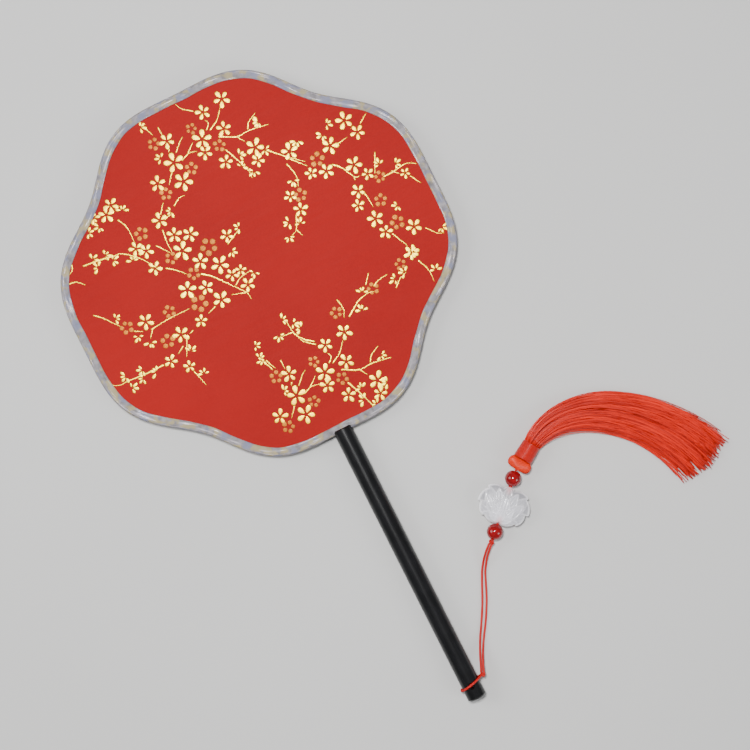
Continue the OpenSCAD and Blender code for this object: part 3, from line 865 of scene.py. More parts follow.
class SilkFanStage(PropertyGroup):
    view_width: length_setting("View width", "Width of the view at the fan", 465 * MM)
    lens: FloatProperty(name="Lens", description="Focal length", default=85.0, min=10.0, unit="CAMERA")
    turn: FloatProperty(
        name="Turn", description="Turn of the view about its own axis",
        default=math.radians(-26.7), subtype="ANGLE",
    )
    floor_colour: colour_setting("Floor", "Colour of the floor", (0.6, 0.595, 0.585))
    key_power: FloatProperty(name="Key", description="Power of the main light", default=22.0, unit="POWER")
    fill_power: FloatProperty(name="Fill", description="Power of the wide light", default=14.0, unit="POWER")


# ---- stage ----

def area_light(name, power, size, place, aim):
    """A soft round light at a place, pointing at another."""
    data = bpy.data.lights.new(name, "AREA")
    data.energy = power
    data.shape = "DISK"
    data.size = size
    lamp = bpy.data.objects.new(name, data)
    way = -unit(np.array(aim, float) - np.array(place, float))
    side = unit(np.cross([0.35, 1.0, 0.0], way))
    rise = np.cross(way, side)
    rows = np.eye(4)
    rows[:3] = np.stack([side, rise, way, place], 1)
    lamp.matrix_world = Matrix(rows.tolist())
    bpy.context.scene.collection.objects.link(lamp)
    return lamp


class SILKFAN_OT_stage(Operator):
    """Make the pale floor, the soft lights and the camera"""
    bl_idname = "silk_fan.stage"
    bl_label = "Stage"

    def execute(self, context):
        stage = context.scene.silk_fan_stage
        data = bpy.data.cameras.new("studio_camera")
        data.lens = stage.lens
        data.sensor_width = 36.0
        data.clip_end = 20.0
        camera = bpy.data.objects.new("studio_camera", data)
        distance = stage.view_width * stage.lens / 36.0
        camera.location = (0.0331, -0.002, FACE_MIDDLE[2] + distance)
        camera.rotation_euler = (0.0, 0.0, stage.turn)
        context.scene.collection.objects.link(camera)
        context.scene.camera = camera
        make_floor(stage)
        # sides of the view: its right and its top, as directions on the table
        right = np.array([math.cos(stage.turn), math.sin(stage.turn), 0.0])
        top = np.array([-math.sin(stage.turn), math.cos(stage.turn), 0.0])
        aim = np.array([0.02, 0.0, 0.0])
        area_light("key_light", stage.key_power, 0.2, aim - 0.12 * right + 0.2 * top + 1.32 * UP, aim)
        area_light("wide_light", stage.fill_power, 1.1, aim - 1.4 * right + 0.2 * top + 1.1 * UP, aim)
        area_light("side_light", stage.fill_power * 0.5, 0.8, aim + 1.3 * right - 0.6 * top + 0.9 * UP, aim)
        world = bpy.data.worlds.new("studio_world")
        world.use_nodes = True
        background = world.node_tree.nodes["Background"]
        background.inputs["Color"].default_value = (0.95, 0.97, 1.0, 1.0)
        background.inputs["Strength"].default_value = 0.3
        context.scene.world = world
        return {"FINISHED"}


def make_floor(stage):
    """A flat square floor with a faint mottle."""
    half = 2.5
    mesh = bpy.data.meshes.new("studio_floor")
    corners = [(-half, -half, 0), (half, -half, 0), (half, half, 0), (-half, half, 0)]
    mesh.from_pydata(corners, [], [(0, 1, 2, 3)])
    material, tree, shader = new_material("studio_floor_paint", 0.85)
    clouds = placed_group(tree, "colour_mottle", {
        "Vector": object_coords(tree), "Scale": 3.0, "Detail": 3.0,
        "Dark": opaque(stage.floor_colour, 0.97), "Light": opaque(stage.floor_colour, 1.02),
    })
    tree.links.new(clouds.outputs["Color"], shader.inputs["Base Color"])
    mesh.materials.append(material)
    floor = bpy.data.objects.new("studio_floor", mesh)
    bpy.context.scene.collection.objects.link(floor)


# ---- the cord, its hitch and its knots ----

def in_metres(route):
    """A route's points in the frame, from the cord hole and the table."""
    return np.array(route) * MM + CORD_HOLE


def knot_skin(centre, reach, radius, axis, flat=1.5):
    """A trefoil knot of cord: x = sin t + 2 sin 2t, y = cos t - 2 cos 2t and z = -sin 3t,
    sized so that its outside reaches as far as asked, square to the axis."""
    t = np.linspace(0, 2 * np.pi, 120, endpoint=False)
    flat_x = np.sin(t) + 2 * np.sin(2 * t)
    flat_y = np.cos(t) - 2 * np.cos(2 * t)
    rise = -flat * np.sin(3 * t)
    side = unit(np.cross(axis, UP))
    top = np.cross(side, axis)
    scale = (reach - radius) / 3
    path = centre + scale * (
        flat_x[:, None] * side + flat_y[:, None] * top + rise[:, None] * axis
    )
    return twisted_cord(path, radius, axis, 2, 2.0 * MM, ring=True)


class SILKFAN_OT_cords(Operator):
    """Make the two pendant cords, their hitch on the handle and their knots"""
    bl_idname = "silk_fan.cords"
    bl_label = "Cords and knots"

    def execute(self, context):
        pendant = context.scene.silk_fan_pendant
        radius = pendant.cord_diameter / 2
        material = cord_material("twisted_red_cord", pendant.cord_colour, 12.0, 240.0)
        for name, route in (("left", ROUTE_LEFT), ("right", ROUTE_RIGHT)):
            path = smooth_route(in_metres(route), 0.4 * MM)
            piece = make_piece("pendant_cord_" + name, twisted_cord(path, radius), material)
            settle(piece, "pendant", "red_cord", "cord_strand_" + name)
        self.make_hitch(radius, material)
        knot = knot_skin(KNOT, 1.95 * MM, 0.62 * MM, BEAD_LINE)
        settle(make_piece("stop_knot", knot, material), "pendant", "red_cord", "cord_knot")
        # two cords laid round each other inside the beads
        low = KNOT + BEAD_LINE * 1.0 * MM
        high = TASSEL_TOP - BEAD_LINE * 1.5 * MM
        steps = np.linspace(0, 1, 110)[:, None]
        line = low + (high - low) * steps
        side = unit(np.cross(BEAD_LINE, UP))
        pair = []
        for start in (0.0, math.pi):
            a = start + steps * 2 * math.pi * 7
            path = line + 0.66 * MM * (np.cos(a) * side + np.sin(a) * UP)
            pair.append(twisted_cord(path, 0.62 * MM, UP, 3, 3.2 * MM))
        settle(make_piece("bead_cords", merged(pair), material), "pendant", "red_cord", "bead_cord")
        return {"FINISHED"}

    def make_hitch(self, radius, material):
        """The cord's slanted turn round the handle is an oval, its run through the hole is
        straight, and two runs leave the turn's side for the knot that the cords swing on."""
        slant = math.radians(12)
        across = np.array([math.cos(slant), math.sin(slant), 0.0])
        centre = np.array([0.0, CORD_HOLE[1] + 0.7 * MM, HANDLE_Z])
        flat_reach, tall_reach = 7.02 * MM, 6.92 * MM

        def turn_point(degrees, more=0.0):
            a = np.radians(np.atleast_1d(degrees))[:, None]
            return centre + (flat_reach + more) * np.cos(a) * across + (tall_reach + more) * np.sin(a) * UP

        normal = np.cross(across, UP)
        around = turn_point(np.arange(0, 360, 3))
        swing = SWING["pendant_swing"]
        hole = np.linspace(-1, 1, 30)[:, None] * tall_reach * UP + centre
        parts = [
            twisted_cord(around, radius, normal, ring=True),
            twisted_cord(hole, radius * 0.96, np.array([0.0, 1.0, 0.0])),
        ]
        for side in (-1, 1):
            leaving = np.vstack([
                turn_point(side * 62), turn_point(side * 42, 0.1 * MM),
                turn_point(side * 20, 0.9 * MM), swing + side * 0.3 * MM * UP,
            ])
            parts.append(twisted_cord(smooth_route(leaving, 0.3 * MM), radius * 0.92, normal))
        settle(make_piece("hitch_turn", merged(parts), material), "fan", "red_cord", "cord_hitch")
        bight = in_metres([
            (9.4, 4.8, 7.6), (8.9, 3.6, 7.8), (8.8, 2.4, 8.3), (9.3, 1.6, 8.7), (10.1, 1.7, 8.5),
            (10.6, 2.6, 8.0), (10.8, 4.0, 7.6),
        ])
        twist = knot_skin(swing + 0.5 * MM * UP, 1.7 * MM, 0.56 * MM, unit(np.array([0.5, 1.0, 0.2])), 1.2)
        made = merged([twisted_cord(smooth_route(bight, 0.3 * MM), radius * 0.97), twist])
        settle(make_piece("hitch_bight", made, material), "pendant", "red_cord")


# ---- the face ----

def rim_line(face, angles, inset):
    """The outline moved in square to itself: r = radius - widen cos 2a + valleys cos 4a -
    corners cos 8a, with a from the top of the face, clockwise."""
    a = np.asarray(angles, float)
    r = (
        face.radius - face.widen * np.cos(2 * a) + face.valleys * np.cos(4 * a)
        - face.corners * np.cos(8 * a)
    )
    slope = (
        2 * face.widen * np.sin(2 * a) - 4 * face.valleys * np.sin(4 * a)
        + 8 * face.corners * np.sin(8 * a)
    )
    out = np.stack([np.sin(a), np.cos(a)], -1)
    side = np.stack([np.cos(a), -np.sin(a)], -1)
    run = slope[..., None] * out + r[..., None] * side
    square = unit(np.stack([-run[..., 1], run[..., 0]], -1))
    return r[..., None] * out - np.asarray(inset)[..., None] * square


def cloth_rise(face, flat):
    """Height of the front cloth's top over the middle of the face: it dips by the sag times
    1 - (r / radius) squared, with faint ripples of stretching that fade to the rim."""
    share = np.clip((flat**2).sum(-1) / face.radius**2, 0, 1)
    a = np.arctan2(flat[..., 0], flat[..., 1])
    ripple = 0.02 * MM * np.sin(9 * a + 30 * share) * share * (1 - share) * 4
    return CLOTH_TOP - face.sag * (1 - share) + ripple


def on_cloth(face, flat, above):
    """Flat points from the middle of the face, laid on the front cloth that far above it,
    and held inside the binding where they would run out of it."""
    a = np.arctan2(flat[..., 0], flat[..., 1])
    limit = np.linalg.norm(rim_line(face, a, np.full(a.shape, 1.8 * MM)), axis=-1)
    reach = np.linalg.norm(flat, axis=-1)
    flat = flat * np.minimum(1, limit / np.maximum(reach, 1e-9))[..., None]
    z = cloth_rise(face, flat) + above
    return np.concatenate([flat, z[..., None]], -1) + FACE_MIDDLE


def over(shape):
    """The same skin, turned over to the back of the face."""
    back = dict(shape)
    back["points"] = turned_over(shape["points"])
    return back


class SILKFAN_OT_cloths(Operator):
    """Make the two stretched silks of the face"""
    bl_idname = "silk_fan.cloths"
    bl_label = "Silk cloths"

    def execute(self, context):
        face = context.scene.silk_fan_face
        angles = np.arange(288) * 2 * np.pi / 288
        rim = rim_line(face, angles, np.full(288, 0.75 * MM))
        shares = np.concatenate([np.linspace(0.03, 1, 44), np.linspace(1, 0.05, 16)])
        flat = rim * shares[:, None, None]
        z = cloth_rise(face, flat)
        z[44:] -= CLOTH_THICK
        grid = np.concatenate([flat, z[..., None]], -1) + FACE_MIDDLE
        top = FACE_MIDDLE + UP * (CLOTH_TOP - face.sag)
        shape = skin(grid[None], top[None], (top - UP * CLOTH_THICK)[None])
        material = silk_material(face)
        for name, made in (("front", shape), ("back", over(shape))):
            piece = make_piece(name + "_silk_cloth", made, material)
            settle(piece, "fan", "red_silk", name + "_silk")
        return {"FINISHED"}


def leaf_outline(points, base, width, blunt):
    """Closed outline of a leaf along +X, 1 long: x runs from base to 1 as (1 - cos t) / 2
    does, and y is width times sin t times that share to the power blunt."""
    t = np.arange(points) * 2 * np.pi / points
    share = (1 - np.cos(t)) / 2
    x = base + (1 - base) * share
    y = -width * np.sin(t) * np.maximum(share, 0.02) ** blunt
    return np.stack([x, y], -1)


def foil_leaves(face, places, reaches, turns, outline, tall):
    """Low closed pads of foil: each is the outline, scaled and turned, in rings that step
    from its middle to its edge, over a point below that closes it."""
    heart = np.array([outline[:, 0].mean(), 0.0])
    rings = np.array([0.45, 0.8, 1.0])
    local = heart + rings[:, None, None] * (outline - heart)
    turn = np.stack([
        np.stack([np.cos(turns), np.sin(turns)], -1),
        np.stack([-np.sin(turns), np.cos(turns)], -1),
    ], 1)
    places, reaches = np.asarray(places, float), np.asarray(reaches, float)
    flat = places[:, None, None] + reaches[:, None, None, None] * np.einsum("rcx,nxy->nrcy", local, turn)
    hearts = places + reaches[:, None] * np.einsum("x,nxy->ny", heart, turn)
    above = np.array([tall, tall * 0.8, -0.02 * MM])[None, :, None]
    grid = on_cloth(face, flat, np.broadcast_to(above, flat.shape[:3]))
    first = on_cloth(face, hearts, np.full(len(hearts), tall))
    last = on_cloth(face, hearts, np.full(len(hearts), -0.05 * MM))
    shape = skin(grid, first, last)
    one = np.concatenate([np.repeat(rings, outline.shape[0]), [0.0, 1.0]])
    shape["values"]["ring"] = np.tile(one, len(places))
    return shape


def blossom_leaves(face, blossoms, outline, tall, seed):
    """Five leaves to a blossom, a fifth of a turn apart, each blossom turned its own way."""
    rng = np.random.default_rng(seed)
    blossoms = np.array(blossoms, float) * MM
    start = rng.uniform(0, 2 * np.pi, len(blossoms))
    turns = (start[:, None] + np.arange(5) * 2 * np.pi / 5).ravel()
    reaches = np.repeat(blossoms[:, 2], 5) * rng.uniform(0.9, 1.06, len(turns))
    return foil_leaves(face, np.repeat(blossoms[:, :2], 5, axis=0), reaches, turns, outline, tall)


def bud_leaves(face, buds, tall, seed):
    """Four small leaves to a cluster, fanned about its place."""
    rng = np.random.default_rng(seed)
    buds = np.array(buds, float) * MM
    start = rng.uniform(0, 2 * np.pi, len(buds))
    turns = start[:, None] + np.array([-1.3, -0.4, 0.5, 1.5]) + rng.uniform(-0.2, 0.2, (len(buds), 4))
    turns = turns.ravel()
    reaches = rng.uniform(3.2, 4.9, len(turns)) * MM
    outline = leaf_outline(10, 0.15, 0.27, 0.35)
    return foil_leaves(face, np.repeat(buds, 4, axis=0), reaches, turns, outline, tall)


def twig_skin(face, points, tall, rng):
    """A tapering low ridge along a line: its half width falls from the thick end to the
    thin one, with a slow wave for knuckles."""
    line = smooth_route(np.array(points, float) * MM, 0.8 * MM)
    bend = rng.normal(0, 0.12 * MM, line.shape)
    line = line + bend * np.sin(np.linspace(0, np.pi, len(line)))[:, None]
    share = np.linspace(0, 1, len(line))
    thick = (0.62 if len(points) > 3 else 0.5) * MM
    wide = thick * (1 - 0.6 * share) * (1 + 0.14 * np.sin(share * 17 + rng.uniform(0, 6)))
    path = on_cloth(face, line, np.zeros(len(line)))
    shape = carried(path, wide[:, None], tall, UP, 6)
    one = np.append(np.full(len(line) * 6, 0.3), [0.3, 0.3])
    shape["values"]["ring"] = one
    return shape


def whole_print(part):
    """That part of every spray, with the cloth's repeat of the top spray."""
    listed = [entry for spray in (TOP_SPRAY, LEFT_SPRAY, RIGHT_SPRAY, LOW_SPRAY) for entry in spray[part]]
    if part == "twigs":
        again = [[(x + REPEAT[0], y + REPEAT[1]) for x, y in line] for line in TOP_SPRAY[part]]
    else:
        again = [(e[0] + REPEAT[0], e[1] + REPEAT[1], *e[2:]) for e in TOP_SPRAY[part]]
    return listed + again


def inside_rim(face, entries):
    """Those of the entries whose place lies inside the binding."""
    kept = []
    for entry in entries:
        a = math.atan2(entry[0], entry[1])
        limit = float(np.linalg.norm(rim_line(face, a, 3 * MM)))
        if math.hypot(entry[0], entry[1]) * MM < limit:
            kept.append(entry)
    return kept


class SILKFAN_OT_print(Operator):
    """Make the printed blossoms, twigs and buds on both silks"""
    bl_idname = "silk_fan.print"
    bl_label = "Foil print"

    def execute(self, context):
        face = context.scene.silk_fan_face
        gold = foil_material(
            "gold_foil_print", opaque(face.gold_colour), opaque(face.dark_gold_colour),
            (0.25, 0.06, 0.02, 1),
        )
        copper = copper_material(face)
        petal = leaf_outline(16, 0.12, 0.33, 0.42)
        square = leaf_outline(12, 0.3, 0.38, 0.1)
        rng = np.random.default_rng(5)
        twigs = [line for line in whole_print("twigs") if inside_rim(face, [line[0]])]
        bright = merged(
            [blossom_leaves(face, inside_rim(face, whole_print("bright")), petal, face.foil, 3)]
            + [bud_leaves(face, inside_rim(face, whole_print("buds")), face.foil, 4)]
            + [twig_skin(face, line, face.foil * 0.8, rng) for line in twigs]
        )
        shadow = blossom_leaves(face, inside_rim(face, whole_print("shadow")), square, face.foil * 0.7, 6)
        for name, made, material in (
            ("gold_print", bright, gold), ("copper_print", shadow, copper),
        ):
            settle(make_piece("front_" + name, made, material), "fan", "red_silk")
            settle(make_piece("back_" + name, over(made), material), "fan", "red_silk")
        return {"FINISHED"}


class SILKFAN_OT_binding(Operator):
    """Make the tape that is folded over the rim"""
    bl_idname = "silk_fan.binding"
    bl_label = "Edge binding"

    def execute(self, context):
        face = context.scene.silk_fan_face
        cols = 720
        a = np.arange(cols) * 2 * np.pi / cols
        width, top, tape = face.binding_width, BINDING_TOP, 0.45 * MM
        # outer side from the front's inner edge round to the back's, as (inset, height)
        bend = np.linspace(0, np.pi / 2, 7)
        corner = 1.1 * MM
        front = [(width, top - 0.46 * MM), (width - 0.05 * MM, top - 0.2 * MM),
                 (width - 0.3 * MM, top - 0.06 * MM), (width * 0.8, top), (width * 0.62, top),
                 (width * 0.45, top), (width * 0.3, top)]
        round_off = [(corner - corner * math.sin(t), top - corner + corner * math.cos(t)) for t in bend]
        outer = np.array(front + round_off)
        outer = np.vstack([outer, outer[::-1] * [1, -1]])
        inner = np.array([(width - 0.3 * MM, -top + tape), (tape + 0.6 * MM, -top + tape),
                          (tape, -top + tape + 0.5 * MM)])
        inner = np.vstack([inner, inner[::-1] * [1, -1]])
        section = np.vstack([outer, inner])
        # puckers of the folded cloth: short waves round the rim, strongest at the inner edge
        inward = np.clip(section[:, 0] / width, 0, 1)[:, None]
        pucker = 0.05 * MM * np.sin(170 * a + 2 * np.sin(7 * a)) + 0.04 * MM * np.sin(97 * a + 1.3)
        wander = 0.12 * MM * np.sin(23 * a + np.sin(5 * a)) + 0.08 * MM * np.sin(41 * a)
        inset = section[:, :1] + wander * inward**3
        tall = section[:, 1:] * np.ones(cols) - np.sign(section[:, 1:]) * np.abs(pucker) * inward * (
            np.abs(section[:, 1:]) > top - 0.3 * MM
        )
        flat = rim_line(face, np.broadcast_to(a, inset.shape), inset)
        grid = np.concatenate([flat, tall[..., None]], -1) + FACE_MIDDLE
        shape = skin(grid[None], ring=True)
        piece = make_piece("folded_edge_tape", shape, tape_material(face))
        settle(piece, "fan", "binding_tape", "edge_binding")
        return {"FINISHED"}


class SILKFAN_OT_handle(Operator):
    """Finish the handle and the wood hidden inside the face"""
    bl_idname = "silk_fan.handle"
    bl_label = "Handle and hoop"

    def execute(self, context):
        lacquer = lacquer_material(context.scene.silk_fan_handle)
        bamboo = bamboo_material()
        for name, material in (("handle", lacquer), ("rim_hoop", bamboo), ("hoop_tang", bamboo)):
            slots = frame["nodes"][name].data.materials
            slots.clear()
            slots.append(material)
        return {"FINISHED"}


# ---- beads and lotus ----

def bead_profile(radius, bore, ease):
    """Half section of a bored ball, closed: the ball's arc, an easing arc into the bore at
    each end, and the bore. The easing circle touches the ball from inside and the bore."""
    far = math.sqrt((radius - ease) ** 2 - (bore + ease) ** 2)
    lean = math.atan2(bore + ease, far)
    arc = np.linspace(math.pi - lean, lean, 48)
    ball = np.stack([radius * np.cos(arc), radius * np.sin(arc)], 1)
    near = np.linspace(lean, -math.pi / 2, 9)[1:]
    ease_high = np.stack([far + ease * np.cos(near), bore + ease + ease * np.sin(near)], 1)
    inside = np.stack([np.linspace(far, -far, 8)[1:-1], np.full(6, bore)], 1)
    ease_low = ease_high[::-1] * [-1, 1]
    return np.vstack([ball, ease_high, inside, ease_low])


class SILKFAN_OT_beads(Operator):
    """Make the two polished round beads"""
    bl_idname = "silk_fan.beads"
    bl_label = "Round beads"

    def execute(self, context):
        pendant = context.scene.silk_fan_pendant
        material = ruby_material(pendant)
        profile = bead_profile(pendant.bead_diameter / 2, pendant.bore_diameter / 2, 0.35 * MM)
        for name, centre in (("lower_bead", LOWER_BEAD), ("upper_bead", UPPER_BEAD)):
            shape = turned(profile, centre, BEAD_LINE, 96)
            settle(make_piece("polished_" + name, shape, material), name, "red_bead", name)
        return {"FINISHED"}


# Depth of the lotus's deepest carving
RELIEF = 1.9 * MM

# The lotus's outline on one side, from its upper end: each petal's edge runs between two
# directions in degrees, and between two radii and a bulge that are shares of its side reach
LOTUS_EDGES = [
    (1, 18, None, 0.64, 0.03), (20, 57, 0.65, 0.95, 0.045), (59.5, 96, 0.87, 1.0, 0.03),
    (98.5, 132, 0.88, 0.9, 0.045), (134, 179, 0.82, None, 0.03),
]


def lotus_outline(pendant):
    """Angles and radii of the lotus's whole outline. Along each petal's edge the radius runs
    evenly from its first to its last, plus the bulge times 4 s (1 - s)."""
    end = pendant.lotus_reach / pendant.lotus_side
    s = np.linspace(0, 1, 25)
    degrees, radii = [], []
    for low, high, near, far, bulge in LOTUS_EDGES:
        near, far = near or end, far or end
        degrees.append(low + (high - low) * s)
        radii.append(near + (far - near) * s + bulge * 4 * s * (1 - s))
    degrees, radii = np.concatenate(degrees), np.concatenate(radii)
    a = np.radians(np.concatenate([degrees, 360 - degrees[::-1]]))
    return a, np.concatenate([radii, radii[::-1]]) * pendant.lotus_side


# Carved petals from back to front: tip along the bead line and to the side, and half width,
# in millimetres. All of them spring from the lotus's lower end.
LOTUS_PETALS = [
    (12.5, 0.0, 5.2), (8.8, 13.4, 5.6), (-2.0, 16.8, 5.2), (9.5, 6.2, 4.6), (3.6, 11.8, 4.4),
    (-8.5, 12.0, 4.0), (5.4, 0.0, 5.0), (-0.6, 6.8, 3.6), (-6.5, 7.8, 2.8), (-1.5, 0.0, 3.2),
]
LOTUS_ROOT = -10.5


def carving(x, y):
    """Height of the carving, 0 to about 1, over the flat lotus, from coordinates in
    millimetres: each petal is a pointed oval from the root to its tip, hollowed inside a
    raised rim, and a petal nearer the front covers the ones behind with a step at its edge."""
    height = np.zeros_like(x)
    y = np.abs(y)
    for order, (tip_x, tip_y, half) in enumerate(LOTUS_PETALS):
        along = np.array([tip_x - LOTUS_ROOT, tip_y])
        length = np.hypot(*along)
        along = along / length
        u = ((x - LOTUS_ROOT) * along[0] + y * along[1]) / length
        v = (-(x - LOTUS_ROOT) * along[1] + y * along[0]) / half
        room = np.clip(u, 0, 1)
        edge = (np.sin(np.pi * room**0.8) ** 0.7 - np.abs(v)) * half
        cover = np.clip(edge / 0.4, 0, 1)
        cover = cover * cover * (3 - 2 * cover)
        rim = np.exp(-((edge - 0.55) / 0.4) ** 2)
        veins = 0.05 * np.cos(v * 17) * np.clip(edge / 1.5, 0, 1)
        level = 0.2 + 0.08 * order + 0.16 * rim + 0.05 * np.clip(edge / half, 0, 1) - 0.1 * u + veins
        height = height + (level - height) * cover
    return height


class SILKFAN_OT_lotus(Operator):
    """Make the carved lotus"""
    bl_idname = "silk_fan.lotus"
    bl_label = "Carved lotus"

    def execute(self, context):
        pendant = context.scene.silk_fan_pendant
        a, reach = lotus_outline(pendant)
        side = np.cross(UP, BEAD_LINE)
        top_shares = np.concatenate([np.linspace(0.03, 0.9, 52), [0.93, 0.955, 0.975, 0.99, 0.998]])
        shares = np.concatenate([top_shares, [1.0], top_shares[::-1]])
        face_sign = np.concatenate([np.ones(len(top_shares)), [0.0], -np.ones(len(top_shares))])
        # clockwise from above, so that the first end is the top
        x = shares[:, None] * reach * np.cos(-a)
        y = shares[:, None] * reach * np.sin(-a)
        z = face_sign[:, None] * self.half_height(pendant, x, y, shares[:, None])
        grid = LOTUS + x[..., None] * BEAD_LINE + y[..., None] * side + z[..., None] * UP
        zero = np.zeros(1)
        heart = self.half_height(pendant, zero, zero, zero)[:, None] * UP
        shape = skin(grid[None], LOTUS + heart, LOTUS - heart)
        material = jade_material(pendant)
        piece = make_piece("carved_lotus", shape, material)
        self.bore(piece, pendant, material)
        self.mark(piece, pendant)
        settle(piece, "lotus_bead", "pale_jade", "lotus_bead")
        return {"FINISHED"}

    def half_height(self, pendant, x, y, share):
        """Half thickness: a dome that falls with the square of the distance, lowered by up
        to the relief where the carving is deep, and rounded off over the last tenth."""
        dome = pendant.lotus_thickness / 2 - (x**2 + y**2) / 80e-3
        relief = np.clip(carving(x / MM, y / MM), 0, 1.2) / 1.2
        rounding = np.sqrt(np.clip(1 - share**14, 0, 1))
        return (dome - RELIEF * (1 - relief)) * (0.12 + 0.88 * rounding)

    def bore(self, piece, pendant, material):
        """Cuts the bore along the bead line with a Boolean of a turned rod."""
        far = pendant.lotus_reach + 3 * MM
        bore = pendant.bore_diameter / 2
        rod = np.array([(-far, bore), (-far / 3, bore), (far / 3, bore), (far, bore)])
        cutter = make_piece("bore_rod", turned(rod, LOTUS, BEAD_LINE, 40, ring=False), material)
        cut = piece.modifiers.new("bore", "BOOLEAN")
        cut.operation = "DIFFERENCE"
        cut.solver = "EXACT"
        cut.object = cutter
        bpy.context.view_layer.update()
        done = bpy.data.meshes.new_from_object(piece.evaluated_get(bpy.context.evaluated_depsgraph_get()))
        piece.modifiers.clear()
        piece.data = done
        bpy.data.objects.remove(cutter)

    def mark(self, piece, pendant):
        """Marks the carving's edges for a painted highlight, its deep recesses for painted shade, and the
        cord's pink cast, from each point's place.
        """
        count = len(piece.data.vertices)
        co = np.zeros(count * 3, np.float32)
        piece.data.vertices.foreach_get("co", co)
        place = co.reshape(-1, 3) - LOTUS
        x = place @ BEAD_LINE
        y = place @ np.cross(UP, BEAD_LINE)
        a, reach = lotus_outline(pendant)
        outline = np.interp(np.arctan2(y, x) % (2 * np.pi), a, reach, period=2 * np.pi)
        share = np.hypot(x, y) / outline
        step = 0.25
        slope = np.hypot(
            carving(x / MM + step, y / MM) - carving(x / MM - step, y / MM),
            carving(x / MM, y / MM + step) - carving(x / MM, y / MM - step),
        )
        # Painted highlight: the outline and the steep steps of the carving are marked to be lightened
        # towards white.
        rim = np.clip((share - 0.9) / 0.07, 0, 1) * 0.8 + np.clip(slope * 1.2, 0, 0.45)
        # Painted shade: the deeper the carving, the darker the stone.
        deep = 1 - np.clip(carving(x / MM, y / MM) / 0.9, 0, 1)
        cast = np.clip(1.1 - np.abs(y) / (2.4 * MM), 0, 1) * np.clip((np.abs(x) - 6 * MM) / (5 * MM), 0, 1)
        for label, values in (("rim", np.clip(rim, 0, 1)), ("deep", deep), ("cast", cast * 0.75)):
            attribute = piece.data.attributes.new(label, "FLOAT", "POINT")
            attribute.data.foreach_set("value", values.astype(np.float32))


# ---- the tassel ----

def head_place(along, side=0.0, rise=0.0):
    """A point by its distances along the tassel's head, to its side and up."""
    along, side, rise = np.broadcast_arrays(along, side, rise)
    way = np.cross(UP, HEAD_LINE)
    return TASSEL_TOP + along[..., None] * HEAD_LINE + side[..., None] * way + rise[..., None] * UP


